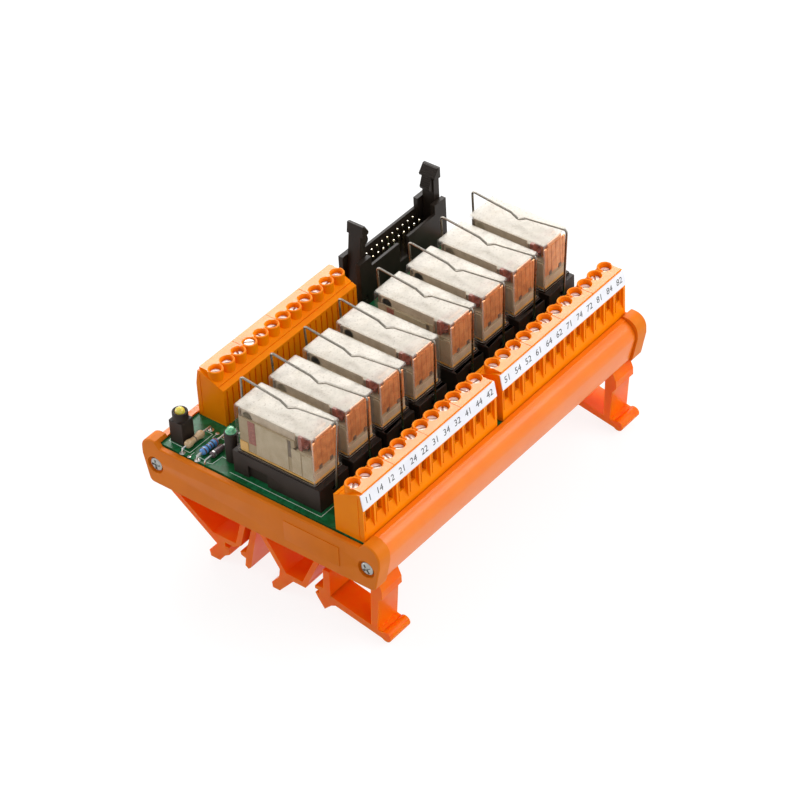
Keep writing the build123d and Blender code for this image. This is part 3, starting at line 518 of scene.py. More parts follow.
def clear_cover():
    """Clear relay cover: milky and speckled on top, see-through at the sides, painted highlight along its
    edges.
    """
    surface = Surface("clear_cover", (0.66, 0.6, 0.51), 0.38, IOR=1.5)
    tree = surface.tree

    def number(operation, a, b):
        node = surface.node("ShaderNodeMath", operation=operation)
        for socket, value in zip(node.inputs, (a, b)):
            if isinstance(value, (int, float)):
                socket.default_value = value
            else:
                surface.link(value, socket)
        return node.outputs[0]

    geometry = surface.node("ShaderNodeNewGeometry")
    split = surface.node("ShaderNodeSeparateXYZ")
    surface.link(geometry.outputs["True Normal"], split.inputs["Vector"])
    up = number("MAXIMUM", split.outputs["Z"], 0.0)
    # bevel and corner mask the rounded edges, where a painted highlight makes the cover whiter and less clear
    bevel = ramped(tree, number("MULTIPLY", up, number("SUBTRACT", 1.0, up)), 0.05, 0.2)
    product = number("MULTIPLY", split.outputs["X"], split.outputs["Y"])
    corner = ramped(tree, number("MULTIPLY", product, product), 0.01, 0.15)
    edge = number("MAXIMUM", bevel, corner)
    cloud = ramped(tree, surface.noise(4.5), 0.35, 0.65, 0.5, 0.85)
    body = number("MAXIMUM", 0.03, number("MULTIPLY", ramped(tree, up, 0.9, 0.99), cloud))
    alpha = number("MAXIMUM", body, number("MULTIPLY", edge, 0.22))
    surface.link(alpha, surface.shader.inputs["Alpha"])
    surface.shades((0.42, 0.35, 0.27), 0.55, 0.57, 0.68)
    # painted highlight: the colour goes towards near-white along the edge mask
    painted_edge_highlight = surface.node("ShaderNodeMix", data_type="RGBA")
    painted_edge_highlight.inputs["B"].default_value = (0.95, 0.92, 0.86, 1)
    surface.link(edge, painted_edge_highlight.inputs["Factor"])
    surface.link(surface.last_color, painted_edge_highlight.inputs["A"])
    surface.link(painted_edge_highlight.outputs["Result"], surface.shader.inputs["Base Color"])
    surface.grain(1.5, 0.2, 0.05)
    return surface.material


CLEAR = clear_cover()


# Carrier

def build_carrier():
    for node, material, bevel in (("profile_tray", ORANGE, 0.15), ("end_plate_near", PLATE, 0.3),
                                  ("end_plate_far", PLATE, 0.3), ("rail_foot_near", FOOT, 0.25),
                                  ("rail_foot_far", FOOT, 0.25)):
        dressed(node, material, bevel)
    dressed("circuit_board", GREEN, 0.08)


def build_plate_screws():
    """Pan-head screws with a cross recess, as the end plates' screws."""
    low, high = box_of("end_plate_screws")
    middle_z = (high.z + low.z) / 2
    in_y = (high.z - low.z) / 2
    reach, half, floor = CROSS
    crown = ((1, 0), (1, 0.35), (0.93, 0.68), (0.72, 0.92), (0.4, 1), (0, 1))
    profile = [(0, -SHANK_LENGTH), (SHANK_R, -SHANK_LENGTH), (SHANK_R, 0)]
    profile += [(HEAD_R * out, HEAD_H * rise) for out, rise in crown]
    screws = []
    for side in (-1, 1):
        seat = high.x - HEAD_SEAT if side > 0 else low.x + HEAD_SEAT
        for y in (low.y + in_y, high.y - in_y):
            arms = [brick((-reach, reach), (-half, half), (floor, 3)),
                    brick((-half, half), (-reach, reach), (floor, 3))]
            head = carved(lathe(profile), [("DIFFERENCE", arms[0]), ("DIFFERENCE", arms[1])])
            turn = Matrix.Rotation(side * math.pi / 2, 4, "Y") @ Matrix.Rotation(0.35 + y / 30, 4, "Z")
            screws.append(moved(head, Matrix.Translation((seat, y, middle_z)) @ turn))
    place("plate_screw_set", joined(screws), ZINC, replaces=("end_plate_screws",), bevel=0.06)


# Terminal blocks

def pole_x(pole):
    return BLOCK_END + (pole + 0.5) * PITCH


def terminal_block():
    """Housing of a 12-pole block with round funnels, from its front lower corner."""
    length = POLES * PITCH + 2 * BLOCK_END
    body = extruded([(0, 0, 0), (0, 0, LABEL_FOOT), (0, LABEL_LEAN, LABEL_HEAD),
                     (0, 2 * LABEL_LEAN, LABEL_HEAD), (0, BLOCK_DEEP, BACK_TOP), (0, BLOCK_DEEP, 0)],
                    (length, 0, 0))
    deck = extruded([(DECK_INSET, LABEL_LEAN, LABEL_HEAD - 1), (DECK_INSET, LABEL_LEAN, DECK_TOP),
                     (DECK_INSET, BOSS_Y, DECK_TOP), (DECK_INSET, BOSS_Y, BACK_TOP)],
                    (length - 2 * DECK_INSET, 0, 0))
    bosses, funnels, pockets, recesses, slots = [], [], [], [], []
    width, deep, foot, sill, top = RECESS
    lip = FUNNEL_R + FUNNEL_LIP
    for pole in range(POLES):
        x = pole_x(pole)
        bosses.append(moved(extruded(disc_points(BOSS_R, 28), (0, 0, BOSS_TOP - 10)), (x, BOSS_Y, 10)))
        funnel = lathe([(0, 10), (FUNNEL_R, 10), (FUNNEL_R, BOSS_TOP - FUNNEL_LIP), (lip, BOSS_TOP),
                        (lip, BOSS_TOP + 1), (0, BOSS_TOP + 1)], 28)
        funnels.append(moved(funnel, (x, BOSS_Y, 0)))
        pockets.append(brick((x - POCKET[0] / 2, x + POCKET[0] / 2), (POCKET[1], POCKET[1] + POCKET[2]),
                             (-1, POCKET[3])))
        side = x - width / 2
        recesses.append(extruded([(side, -1, foot), (side, 0, foot), (side, deep, sill), (side, deep, top),
                                  (side, -1, top)], (width, 0, 0)))
        half = WIRE_SLOT[0] / 2
        slots.append(brick((x - half, x + half), (deep - 0.5, POCKET[1] + 0.5),
                           (WIRE_SLOT[2], WIRE_SLOT[2] + WIRE_SLOT[1])))
        half = BACK_GROOVE[0] / 2
        for shift in (-GROOVE_SHIFT, GROOVE_SHIFT):
            slots.append(brick((x + shift - half, x + shift + half),
                               (BLOCK_DEEP - BACK_GROOVE[1], BLOCK_DEEP + 1), (-1, BACK_GROOVE[2])))
        slots.append(brick((side - 0.55, side - 0.25), (-1, 0.6), (sill - 1.4, top - 0.4)))
        if pole % 3 == 0 and pole:
            seam = x - PITCH / 2
            slots.append(brick((seam - SEAM[0] / 2, seam + SEAM[0] / 2), (LABEL_LEAN - 1, BOSS_Y + 3),
                               (DECK_TOP - SEAM[1], 20)))
    from_back, to_back, rise = LEDGE_GROOVE
    slots.append(brick((-1, length + 1), (BLOCK_DEEP - from_back, BLOCK_DEEP - to_back),
                       (BACK_TOP + rise, BACK_TOP + 3)))
    for x in ((-1, END_SLIT[2]), (length - END_SLIT[2], length + 1)):
        slots.append(brick(x, END_SLIT[:2], (1.0, LABEL_HEAD - 1.2)))
    return carved(body, [("UNION", deck), ("UNION", joined(bosses)), ("DIFFERENCE", joined(pockets)),
                         ("DIFFERENCE", joined(funnels)), ("DIFFERENCE", joined(recesses)),
                         ("DIFFERENCE", joined(slots))])


def funnel_rims():
    """Raised round rims behind the funnels of a block."""
    reach = BOSS_R - RIM_R
    rims = []
    for pole in range(POLES):
        turns = [math.radians(RIM_STEP * (i - 1)) for i in range(RIM_STEPS + 1)]
        arc = [Vector((pole_x(pole) + reach * math.cos(turn), BOSS_Y + reach * math.sin(turn), BOSS_TOP))
               for turn in turns]
        rims.append(wire(arc, RIM_R, 8))
    return joined(rims)


def block_place(node):
    """Transform from a block's own corner to its place on the board."""
    low, high = box_of(node)
    if node == "input_block":
        return Matrix.Translation((high.x, high.y, low.z)) @ Matrix.Rotation(math.pi, 4, "Z")
    return Matrix.Translation(low)


def terminal_screw():
    """Slotted zinc screw head, standing on z = 0."""
    head = lathe([(0, 0), (SCREW_R, 0), (SCREW_R, SCREW_HEAD - 0.25), (SCREW_R - 0.25, SCREW_HEAD),
                  (0, SCREW_HEAD)], 24)
    half = SCREW_SLOT[0] / 2
    slot = brick((-3, 3), (-half, half), (SCREW_HEAD - SCREW_SLOT[1], SCREW_HEAD + 1))
    return carved(head, [("DIFFERENCE", slot)])


def build_terminals():
    names = ("output_block_a", "output_block_b", "input_block")
    housing = terminal_block()
    head = terminal_screw()
    screws = []
    for k, node in enumerate(names):
        spot = block_place(node)
        block = place(node + "_housing", moved(housing.copy(), spot), TERMINAL,
                      replaces=(node,), bevel=0.12)
        block.data.materials.append(DECK)
        for face in block.data.polygons:
            if face.normal.z > 0.98 and face.center.z > (BOARD_TOP + LABEL_HEAD) * MM:
                face.material_index = 1
        place(node + "_rims", moved(funnel_rims(), spot), RIM)
        for pole in range(POLES):
            raised = node == "input_block" and pole == RAISED_POLE
            rise = SCREW_SEAT + (RAISED_BY if raised else 0)
            shank = extruded(disc_points(SCREW_SHANK_R, 16), (0, 0, rise - SCREW_FOOT))
            screw = joined([head.copy(), moved(shank, (0, 0, SCREW_FOOT - rise))])
            turn = 0.6 + 1.7 * math.sin(5.1 * pole + 2.3 * k)
            seat = Matrix.Translation((pole_x(pole), BOSS_Y, rise))
            screws.append(moved(screw, spot @ seat @ Matrix.Rotation(turn, 4, "Z")))
    place("terminal_screw_set", joined(screws), SCREW, replaces=("terminal_screws",),
          bevel=0.05)
    housing.free()
    head.free()


def number_text(text):
    """Digits as a flat mesh centred on the origin."""
    curve = bpy.data.curves.new("digits", "FONT")
    curve.body = text
    curve.size = DIGIT_HEIGHT / 0.7
    curve.align_x = "CENTER"
    curve.align_y = "CENTER"
    curve.extrude = 0.01
    curve.resolution_u = 3
    obj = added("digits", curve)
    graph = bpy.context.evaluated_depsgraph_get()
    mesh = bpy.data.meshes.new_from_object(obj.evaluated_get(graph))
    bpy.data.objects.remove(obj)
    bpy.data.curves.remove(curve)
    bm = bmesh.new()
    bm.from_mesh(mesh)
    bpy.data.meshes.remove(mesh)
    return bm


def build_labels():
    """White strips with contact numbers: three contacts to each relay."""
    slope = Vector((0, LABEL_LEAN, LABEL_HEAD - LABEL_FOOT)).normalized()
    normal = Vector((1, 0, 0)).cross(slope)
    for k, name in enumerate("ab"):
        node = "label_strip_" + name
        dressed(node, CARD, 0.05)
        corner = box_of("output_block_" + name)[0]
        digits = []
        for pole in range(POLES):
            relay = k * POLES // 3 + pole // 3 + 1
            contact = "142"[pole % 3]
            middle = corner + Vector((pole_x(pole), LABEL_LEAN / 2, (LABEL_FOOT + LABEL_HEAD) / 2))
            middle += normal * DIGIT_RISE
            turn = Matrix((Vector((1, 0, 0)), slope, normal)).transposed().to_4x4()
            text = number_text(str(relay) + contact)
            digits.append(moved(text, Matrix.Translation(middle) @ turn))
        place("label_digits_" + name, joined(digits), INK)


# Relays

def rounded_box(low, high, radius, top_radius):
    """A box open at the bottom with rounded upright edges and top edges."""
    steps = 4
    middle = (Vector(low) + Vector(high)) / 2
    bm = bmesh.new()

    def ring(inset, z):
        points = []
        half_x = (high[0] - low[0]) / 2 - inset
        half_y = (high[1] - low[1]) / 2 - inset
        r = max(radius - inset, 0.05)
        for quarter, (sx, sy) in enumerate(((1, 1), (-1, 1), (-1, -1), (1, -1))):
            for i in range(steps + 1):
                turn = math.pi / 2 * (quarter + i / steps)
                points.append((middle.x + sx * (half_x - r) + r * math.cos(turn),
                               middle.y + sy * (half_y - r) + r * math.sin(turn), z))
        return [bm.verts.new(p) for p in points]

    rings = [ring(0, low[2])]
    for i in range(steps + 1):
        turn = math.pi / 2 * i / steps
        rings.append(ring(top_radius * (1 - math.cos(turn)), high[2] - top_radius * (1 - math.sin(turn))))
    count = len(rings[0])
    for a, b in zip(rings, rings[1:]):
        for i in range(count):
            j = (i + 1) % count
            bm.faces.new((a[i], a[j], b[j], b[i]))
    bm.faces.new(rings[-1])
    bmesh.ops.recalc_face_normals(bm, faces=bm.faces)
    return bm


def build_covers():
    for number in RELAYS:
        node = "relay_cover_%d" % number
        bm = rounded_box(*box_of(node), COVER_EDGE, COVER_TOP_EDGE)
        cover = place("relay_cover_shell_%d" % number, bm, CLEAR,
                      replaces=(node,), smooth=60)
        shell = cover.modifiers.new("wall", "SOLIDIFY")
        shell.thickness = WALL * MM
        shell.offset = -1


def build_works():
    """Moulded frame, coil window, contact plates and base of the works in each cover; dark slabs paint shade
    in its gaps.
    """
    for number in RELAYS:
        node = "relay_frame_%d" % number
        dressed(node, BEIGE, 0.12)
        inner_low, inner_high = box_of(node)
        back, front = inner_high.y, inner_low.y
        base, crown = inner_low.z, inner_high.z
        step = base + 10.0
        ridges, coil, painted_gap_shade, feet, plates, cheeks = [], [], [], [], [], []
        for side in (-1, 1):
            x = inner_high.x if side > 0 else inner_low.x

            def slab(rise, y, z, list_of):
                """A flat shape on this side of the works, y from the back and z as heights."""
                list_of.append(brick(sorted((x - side * 0.1, x + side * rise)),
                                     sorted((back - y[0], back - y[1])), z))

            slab(0.14, (6.2, 17.9), (base + 0.8, crown - 0.9), ridges)
            slab(0.26, (6.4, 17.7), (crown - 0.9, crown - 0.1), ridges)
            slab(0.14, (19.2, 22.6), (base + 0.8, step - 0.5), ridges)
            slab(0.2, (23.0, 26.8), (base + 0.8, step - 1.2), ridges)
            slab(0.28, (24.4, 26.6), (step - 1.2, step - 0.5), ridges)
            slab(0.08, (3.4, 6.0), (base + 3.8, crown - 0.4), coil)
            # painted shade: a dark sheet on the side, where a slot between the parts lies in shade
            slab(0.05, (18.0, 19.1), (step - 4.0, crown - 0.4), painted_gap_shade)
            slab(0.22, (0.1, 3.0), (base + 0.1, base + 3.6), feet)
            slab(0.24, (0.4, 26.8), (base + 0.05, base + 0.6), feet)
            cheeks.append(brick(sorted((x - side * 0.8, x - side * 0.4)), (back - 20.4, back - 0.6),
                             (crown - 0.1, crown + 2.9)))
        middle = (inner_low.x + inner_high.x) / 2

        def across(half, y, z, list_of):
            """A brick across the middle of the works."""
            list_of.append(brick((middle - half, middle + half), y, z))

        # painted shade: a dark brick across the back of the top, where a gap lies in shade
        across(5.3, (back - 0.9, back - 0.2), (crown, crown + 2.6), painted_gap_shade)
        roll = moved(extruded(disc_points(1.7, 24), (0, 0, 10.0)), Matrix.Rotation(math.pi / 2, 4, "Y"))
        ridges.append(moved(roll, (middle - 5.0, back - 3.2, crown + 0.6)))
        across(5.2, (back - 21.8, back - 23.0), (step, crown + 2.4), coil)
        across(4.4, (back - 23.0, back - 24.4), (crown - 1.6, crown - 0.4), coil)
        for row in (-1, 1):
            for shift in (1.1, 3.2, 4.6):
                at = middle + row * shift
                plates.append(brick((at - 0.55, at + 0.55), (front - 0.16, front + 0.3),
                                    (base + 5.2, crown + 1.9)))
            at = middle + row * 2.4
            # painted shade: dark bricks on the front face, where openings lie in shade
            painted_gap_shade.append(brick((at - 0.6, at + 0.6), (front - 0.2, front + 0.1), (base + 4.0, base + 5.4)))
        across(5.2, (front - 0.08, front + 0.3), (base + 4.4, crown + 1.6), plates)
        across(5.2, (front - 0.12, front + 0.1), (base + 0.7, base + 3.0), ridges)
        across(5.3, (front - 0.18, front + 0.1), (base + 0.05, base + 0.9), feet)
        for stem, parts, material, slot in (
                ("ridges", ridges, CREAM, "beige_plastic"), ("coil", coil, COIL, "copper"),
                ("painted_gap_shade", painted_gap_shade, PAINTED_SHADE, "black_plastic"), ("base", feet, AMBER, "beige_plastic"),
                ("cheeks", cheeks, TAN, "beige_plastic"), ("plates", plates, COPPER, "copper")):
            place("relay_%s_%d" % (stem, number), joined(parts), material)


def build_sockets():
    for number in RELAYS:
        dressed("relay_socket_%d" % number, BLACK, 0.2)


def build_inner_metal():
    """Finishes of the CAD solids that stay as they are."""
    for node, material in (("terminal_clamps", STEEL), ("relay_yokes", YOKE), ("relay_contacts", COPPER)):
        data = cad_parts[node].data
        data.materials.clear()
        data.materials.append(material)


def build_clips():
    """Spring wire clips; each line follows the CAD clip, leaning as it does."""
    for number in RELAYS:
        node = "relay_clip_%d" % number
        socket_low, socket_high = box_of("relay_socket_%d" % number)
        x = (socket_low.x + socket_high.x) / 2
        out_face, in_face = socket_low.y, socket_high.y
        notch = (out_face + in_face) / 2 - 0.9
        line = [(out_face + CLIP_HOOK, CLIP_PIVOT), (out_face - 0.6, CLIP_PIVOT),
                (out_face - 2.8, CLIP_TOP), (notch - CLIP_DIP_HALF, CLIP_SHOULDER), (notch, CLIP_DIP),
                (notch + CLIP_DIP_HALF, CLIP_SHOULDER), (in_face + 0.2, CLIP_TOP),
                (in_face + 0.6, CLIP_PIVOT), (in_face - CLIP_HOOK, CLIP_PIVOT)]
        path = rounded_path([(0, y, h - CLIP_PIVOT) for y, h in line], 1.1)
        lean = Matrix.Translation((x, 0, BOARD_TOP + CLIP_PIVOT)) @ Matrix.Rotation(
            math.radians(CLIP_LEANS[number - 1]), 4, "Y")
        place("clip_wire_%d" % number, moved(wire(path, WIRE_R), lean), WIRE,
              "clip_%d" % number, (node,))


# Header

def slab_y(outline, width):
    """A plate with an outline of (x, z) points, centred on Y."""
    return extruded([(x, -width / 2, z) for x, z in outline], (0, width, 0))


def latch_shape():
    """An ejector latch with its pivot pin, its foot on z = 0 and its nose towards -X."""
    stem = [(1.3, 3), (1.3, 27.9), LATCH_HEAD[0], (-1.3, 25.9), (-1.3, 4.6), (-3.3, 4.6), (-3.3, 3),
            (-1.3, 3)]
    head = [(1.3, 27.9), *LATCH_HEAD, (-1.6, 24.5), (1.3, 24.1)]
    nose = [(-1.1, 26.0), *LATCH_NOSE, (-2.9, 20.7), (-1.1, 19.5)]
    parts = [slab_y(stem, 4.6), slab_y(head, 6.0), slab_y(nose, 3.6)]
    for radius, length in ((1.3, 4.6), (0.8, 8.0)):
        pin = extruded(disc_points(radius, 24), (0, 0, length))
        parts.append(moved(pin, Matrix.Translation((0, length / 2, LATCH_PIVOT))
                           @ Matrix.Rotation(math.pi / 2, 4, "X")))
    return carved(parts[0], [("UNION", part) for part in parts[1:]])


def latch_ribs():
    """Round ribs across both slopes of a latch."""
    ribs = []
    for ((x0, z0), (x1, z1)), count, width in ((LATCH_HEAD, 5, 6.0), (LATCH_NOSE, 6, 3.6)):
        for i in range(count):
            t = (i + 0.5) / count
            rib = extruded(disc_points(RIB_R, 6), (0, 0, width - 0.3))
            spot = Matrix.Translation((x0 + (x1 - x0) * t, width / 2 - 0.15, z0 + (z1 - z0) * t))
            ribs.append(moved(rib, spot @ Matrix.Rotation(math.pi / 2, 4, "X")))
    return joined(ribs)


def build_header():
    dressed("header_body", HEADER, 0.18)
    low, high = box_of("header_body")
    for side, name in ((-1, "left"), (1, "right")):
        pivot = high.x - LATCH_INSET if side > 0 else low.x + LATCH_INSET
        turned = Matrix.Scale(-1, 4, (1, 0, 0)) if side < 0 else Matrix.Identity(4)
        lean = Matrix.Rotation(math.radians(LATCH_LEAN if side < 0 else 0), 4, "Y")
        spot = Matrix.Translation((pivot, (low.y + high.y) / 2, BOARD_TOP + LATCH_PIVOT))
        spot = spot @ lean @ Matrix.Translation((0, 0, -LATCH_PIVOT)) @ turned
        for piece, bm, replaced, bevel in (("latch_", latch_shape(), ("header_latch_" + name,), 0.15),
                                           ("latch_ribs_", latch_ribs(), (), 0)):
            bm = moved(bm, spot)
            bmesh.ops.recalc_face_normals(bm, faces=bm.faces)
            place(piece + name, bm, HEADER, "latch_" + name, replaced, bevel)


def build_header_pins():
    low, high = box_of("header_pins")
    corner_r = PIN_HALF * math.sqrt(2)
    pins = []
    for column in range(PIN_COLUMNS):
        for row in (0, 1):
            x = low.x + PIN_HALF + column * PIN_PITCH
            y = low.y + PIN_HALF + row * PIN_PITCH
            pin = extruded(disc_points(corner_r, 4, low.z, math.pi / 4), (0, 0, high.z - low.z - PIN_TIP))
            tip = lathe([(0, 0), (corner_r, 0), (PIN_HALF * 0.7, PIN_TIP), (0, PIN_TIP)], 4)
            tip = moved(tip, Matrix.Rotation(math.pi / 4, 4, "Z"))
            pins.append(joined([moved(pin, (x, y, 0)), moved(tip, (x, y, high.z - PIN_TIP))]))
    place("header_pin_set", joined(pins), GOLD, replaces=("header_pins",), smooth=20)


# Small parts

def dome(radius, height):
    """Profile of a round-topped lens of the given total height."""
    points = [(0, 0), (radius, 0), (radius, height - radius)]
    for i in range(1, 7):
        turn = math.pi / 2 * i / 6
        points.append((radius * math.cos(turn), height - radius + radius * math.sin(turn)))
    points[-1] = (0, height)
    return points


def build_lamps():
    low, high = box_of("power_lamp")
    middle = (low + high) / 2
    bulb = moved(lathe(dome(1.55, high.z - low.z)), (middle.x, middle.y, low.z))
    place("power_lamp_lens", bulb, YELLOW_LENS, replaces=("power_lamp",))
    base_low, base_high = box_of("power_lamp_block")
    seat = base_low.z + LAMP_SEAT
    holder = brick((base_low.x, base_high.x), (base_low.y, base_high.y), (base_low.z, seat))
    collar = lathe([(0, seat - 0.2), (2.4, seat - 0.2), (2.4, base_high.z + 0.3), (2.15, base_high.z + 0.5),
                    (1.7, base_high.z + 0.3), (1.65, base_high.z), (0, base_high.z)])
    holder = joined([holder, moved(collar, (middle.x, middle.y, 0))])
    place("power_lamp_holder", holder, BLACK, replaces=("power_lamp_block",), bevel=0.2)
    low, high = box_of("relay_lamps")
    base_low, base_high = box_of("relay_lamp_spacers")
    height = high.z - low.z
    lamps = []
    spacers = []
    for number in RELAYS:
        x = middle_of("relay_cover_%d" % number)[0] + LAMP_X
        y = (low.y + high.y) / 2
        bulb = lathe([(0, 0), (1.62, 0), (1.62, 0.3), (1.4, 0.42), (1.32, 0.5), (1.25, height - 0.7),
                      (1.0, height - 0.25), (0.55, height - 0.04), (0, height)], 28)
        lamps.append(moved(bulb, (x, y, low.z)))
        spacer = extruded(disc_points(2.1, 28), (0, 0, base_high.z - base_low.z))
        spacers.append(moved(spacer, (x, y, base_low.z)))
    place("relay_lamp_lenses", joined(lamps), GREEN_LENS, replaces=("relay_lamps",))
    place("relay_lamp_stands", joined(spacers), BLACK, replaces=("relay_lamp_spacers",),
          bevel=0.15)


def lead_pair(rise, body_half):
    """Two bent leads of an axial part lying along X on z = 0, its body shifted from their middle."""
    leads = []
    for side in (-1, 1):
        line = [(BODY_SHIFT + side * (body_half - 0.3), 0, rise), (side * LEAD_SPAN / 2, 0, rise),
                (side * LEAD_SPAN / 2, 0, 0.02)]
        leads.append(wire(rounded_path(line, 0.8), LEAD_R, 8))
    return joined(leads)


def along_x(profile, rise, sides=24):
    """A body of revolution lying along X, from (position, radius) points."""
    bm = lathe([(radius, x) for x, radius in profile], sides)
    return moved(bm, Matrix.Translation((0, 0, rise)) @ Matrix.Rotation(math.pi / 2, 4, "Y"))


def bone(half, steps, middle=()):
    """Profile of a round body with like ends, from (inset, radius) steps of one end."""
    end = [(inset - half, radius) for inset, radius in steps]
    return [*end, *middle, *((-x, radius) for x, radius in reversed(end))]


def band(at, half, radius, rise, sides=24):
    return along_x([(at - half, 0), (at - half, radius), (at + half, radius), (at + half, 0)], rise, sides)


def build_axials():
    shift = Vector((BODY_SHIFT, 0, 0))
    spot = Vector((*middle_of("beige_resistor"), BOARD_TOP))
    radius = 1.27
    half = 3.7
    rise = LEAD_RISE + radius
    steps = [(0, 0), (0, 0.7), (0.35, 1.1), (1.0, radius), (1.7, radius), (2.5, 0.98)]
    place("beige_body", moved(along_x(bone(half, steps, [(0, 0.95)]), rise), spot + shift), BEIGE_COAT,
          replaces=("beige_resistor",), smooth=50)
    # painted shade: a dark ring over the waist of the body, where it lies in shade
    place("beige_waist_shade", moved(band(0, 0.2, 0.99, rise), spot + shift), PAINTED_SHADE, smooth=50)
    place("beige_leads", moved(lead_pair(rise, half), spot), SOLDER)

    spot = Vector((*middle_of("blue_resistor"), BOARD_TOP))
    radius = 1.2
    half = 3.4
    rise = LEAD_RISE + radius
    steps = [(0, 0), (0, 0.7), (0.3, 1.05), (0.8, radius), (1.7, radius), (2.1, 1.05)]
    place("blue_body", moved(along_x(bone(half, steps), rise), spot + shift), BLUE_COAT,
          replaces=("blue_resistor",), smooth=50)
    place("blue_leads", moved(lead_pair(rise, half), spot), SOLDER)
    stripes = ((-2.55, 1.23, GLAZE), (-1.1, 1.08, INK), (0.0, 1.08, GLAZE), (1.1, 1.08, INK),
               (2.5, 1.23, COIL))
    for k, (at, r, material) in enumerate(stripes):
        stripe = moved(band(at, 0.22, r, rise), spot + shift)
        place("blue_band_%d" % k, stripe, material, smooth=50)

    y = middle_of("diodes")[1]
    bodies, bands, leads = [], [], []
    for number in RELAYS:
        spot = Vector((middle_of("relay_cover_%d" % number)[0] + PADS_X, y, BOARD_TOP))
        rise = LEAD_RISE + 1.0
        body = bone(2.5, [(0, 0), (0, 0.7), (0.09, 0.91), (0.3, 1.0)])
        bodies.append(moved(along_x(body, rise, 20), spot + shift))
        bands.append(moved(band(-1.6, 0.3, 1.03, rise, 20), spot + shift))
        leads.append(moved(lead_pair(rise, 2.5), spot))
    place("diode_bodies", joined(bodies), GLAZE, replaces=("diodes",), smooth=50)
    place("diode_bands", joined(bands), SOLDER, smooth=50)
    place("diode_leads", joined(leads), SOLDER)


# Printed lines and pads on the board

def printed_line(points):
    """A flat printed line through board points."""
    parts = []
    for a, b in zip(points, points[1:]):
        a = Vector((*a, 0))
        b = Vector((*b, 0))
        along = (b - a).normalized()
        side = along.cross(UP) * PRINT_WIDTH / 2
        a = a - along * PRINT_WIDTH / 2
        b = b + along * PRINT_WIDTH / 2
        outline = [a + side, b + side, b - side, a - side]
        parts.append(moved(extruded(outline, (0, 0, PRINT_RISE)), (0, 0, BOARD_TOP)))
    return joined(parts)


def printed_frame(x0, y0, x1, y1):
    return printed_line([(x0, y0), (x1, y0), (x1, y1), (x0, y1), (x0, y0)])


def pad(x, y, radius=0.9):
    drop = lathe([(0, 0), (radius, 0), (radius, 0.04), (radius * 0.5, 0.12), (0, 0.16)], 20)
    return moved(drop, (x, y, BOARD_TOP))


def build_print():
    lines = []
    pads = []
    for number in RELAYS:
        low, high = box_of("relay_socket_%d" % number)
        x0, x1, y0, y1 = low.x - 1.2, high.x + 1.2, low.y - 1.0, high.y + 0.6
        lines.append(printed_line([(x0, y1), (x0, y0), (x1, y0), (x1, y1)]))
    for node, half_y in (("beige_resistor", 1.7), ("blue_resistor", 1.6)):
        low, high = box_of(node)
        y = (low.y + high.y) / 2
        lines.append(printed_frame(low.x + 1.6, y - half_y, high.x - 1.6, y + half_y))
        for x in (low.x + 0.3, high.x - 0.3):
            pads.append(pad(x, y))
    low, high = box_of("power_lamp_block")
    lines.append(printed_frame(low.x - 0.4, low.y - 0.4, high.x + 0.4, high.y + 0.4))
    lines.append(printed_line(CORNER_PRINT))
    for x, inward in SMALL_PADS:
        pads.append(pad(x, SMALL_PADS_Y, 0.6))
        lines.append(printed_line([(x + inward * 0.8, SMALL_PADS_Y), (x + inward * 2.2, SMALL_PADS_Y)]))
    place("board_print", joined(lines), SILK)
    place("board_pads", joined(pads), SOLDER, smooth=50)


# Studio

CAMERA_AT = Vector((-568.8, -477.6, 634.8))
CAMERA_TURN = math.radians(-49.993)
CAMERA_LIFT = math.radians(39.202)
CAMERA_ROLL = math.radians(-3.209)
CAMERA_LENS = 145.37
LIGHTS_AIM = Vector((0, 0, 0.05))  # this and the rest of the studio in metres
FLOOR_HALF = 3
FLOOR_DROP = 0.0001


def build_camera():
    camera = bpy.data.cameras.new("camera")
    camera.lens = CAMERA_LENS
    camera.sensor_width = 36
    camera.clip_end = 10
    obj = added("camera", camera)
    right = Vector((math.cos(CAMERA_TURN), math.sin(CAMERA_TURN), 0))
    level = math.cos(CAMERA_LIFT)
    back = Vector((math.sin(CAMERA_TURN) * level, -math.cos(CAMERA_TURN) * level, math.sin(CAMERA_LIFT)))
    up = back.cross(right)
    turned = right * math.cos(CAMERA_ROLL) + up * math.sin(CAMERA_ROLL)
    lifted = up * math.cos(CAMERA_ROLL) - right * math.sin(CAMERA_ROLL)
    facing = Matrix((turned, lifted, back)).transposed().to_4x4()
    obj.matrix_world = Matrix.Translation(CAMERA_AT * MM) @ facing
    bpy.context.scene.camera = obj


def soft_light(name, at, size, power):
    """An area light that looks at the middle of the part."""
    light = bpy.data.lights.new(name, "AREA")
    light.shape = "RECTANGLE"
    light.size = size[0]
    light.size_y = size[1]
    light.energy = power
    obj = added(name, light)
    at = Vector(at)
    turn = (LIGHTS_AIM - at).to_track_quat("-Z", "Y").to_matrix().to_4x4()
    obj.matrix_world = Matrix.Translation(at) @ turn


def in_view(tree):
    """A level of 1 for rays from the camera, gloss and glass, and 0 for others."""
    path = tree.nodes.new("ShaderNodeLightPath")
    level = path.outputs["Is Camera Ray"]
    for name in ("Is Glossy Ray", "Is Transmission Ray"):
        node = tree.nodes.new("ShaderNodeMath")
        node.operation = "MAXIMUM"
        tree.links.new(level, node.inputs[0])
        tree.links.new(path.outputs[name], node.inputs[1])
        level = node.outputs[0]
    return level


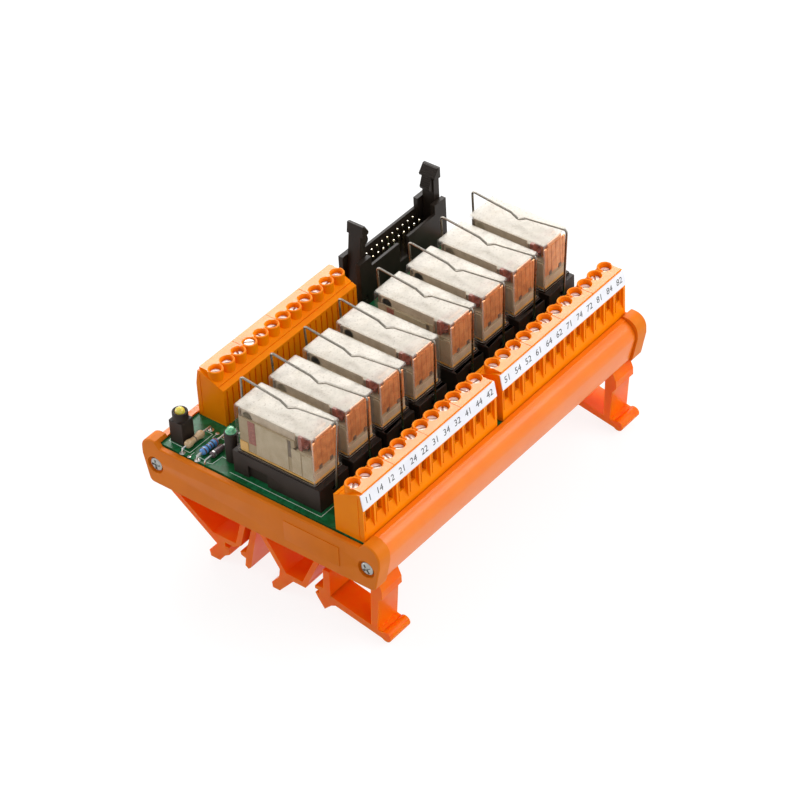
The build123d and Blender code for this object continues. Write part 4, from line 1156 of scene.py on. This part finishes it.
def white_for_camera(material):
    """Make the floor show as white to the camera and in gloss, but keep the shadows on it."""
    tree = material.node_tree
    shader = tree.nodes["Principled BSDF"]
    seen = in_view(tree)
    tree.links.new(ramped(tree, seen, to_low=0.3, to_high=0.2), shader.inputs["Base Color"])
    shader.inputs["Emission Color"].default_value = (1, 1, 1, 1)
    tree.links.new(ramped(tree, seen, to_low=0.34, to_high=0.85), shader.inputs["Emission Strength"])


def build_studio():
    floor_surface = Surface("studio_floor", (0.85, 0.85, 0.85), 0.6, Specular_IOR_Level=0.0)
    white_for_camera(floor_surface.material)
    bm = brick((-FLOOR_HALF, FLOOR_HALF), (-FLOOR_HALF, FLOOR_HALF), (-0.02, -FLOOR_DROP))
    floor = added("floor", mesh_of(bm, "floor"))
    floor.data.materials.append(floor_surface.material)

    world = bpy.data.worlds.new("studio")
    bpy.context.scene.world = world
    world.use_nodes = True
    tree = world.node_tree
    background = tree.nodes["Background"]
    background.inputs["Color"].default_value = (1, 1, 1, 1)
    coords = tree.nodes.new("ShaderNodeTexCoord")
    facing = tree.nodes.new("ShaderNodeVectorMath")
    facing.operation = "DOT_PRODUCT"
    facing.inputs[1].default_value = Vector((0.6, -0.6, 0.55)).normalized()
    tree.links.new(coords.outputs["Generated"], facing.inputs[0])
    sky = ramped(tree, facing.outputs["Value"], -1.0, to_high=0.95)
    level = tree.nodes.new("ShaderNodeMix")
    level.data_type = "FLOAT"
    level.inputs["B"].default_value = 1.0
    tree.links.new(in_view(tree), level.inputs["Factor"])
    tree.links.new(sky, level.inputs["A"])
    tree.links.new(level.outputs["Result"], background.inputs["Strength"])

    soft_light("key", (0.535, 0.448, 0.569), (0.55, 0.55), 4.8)
    soft_light("fill", (0.3, -0.6, 0.55), (0.6, 0.4), 2.6)
    soft_light("rim", (-0.35, 0.7, 0.3), (0.4, 0.4), 2.0)
    bpy.context.scene.view_settings.view_transform = "Standard"


build_carrier()
build_plate_screws()
build_terminals()
build_labels()
build_sockets()
build_covers()
build_works()
build_inner_metal()
build_clips()
build_header()
build_header_pins()
build_lamps()
build_axials()
build_print()
build_camera()
build_studio()
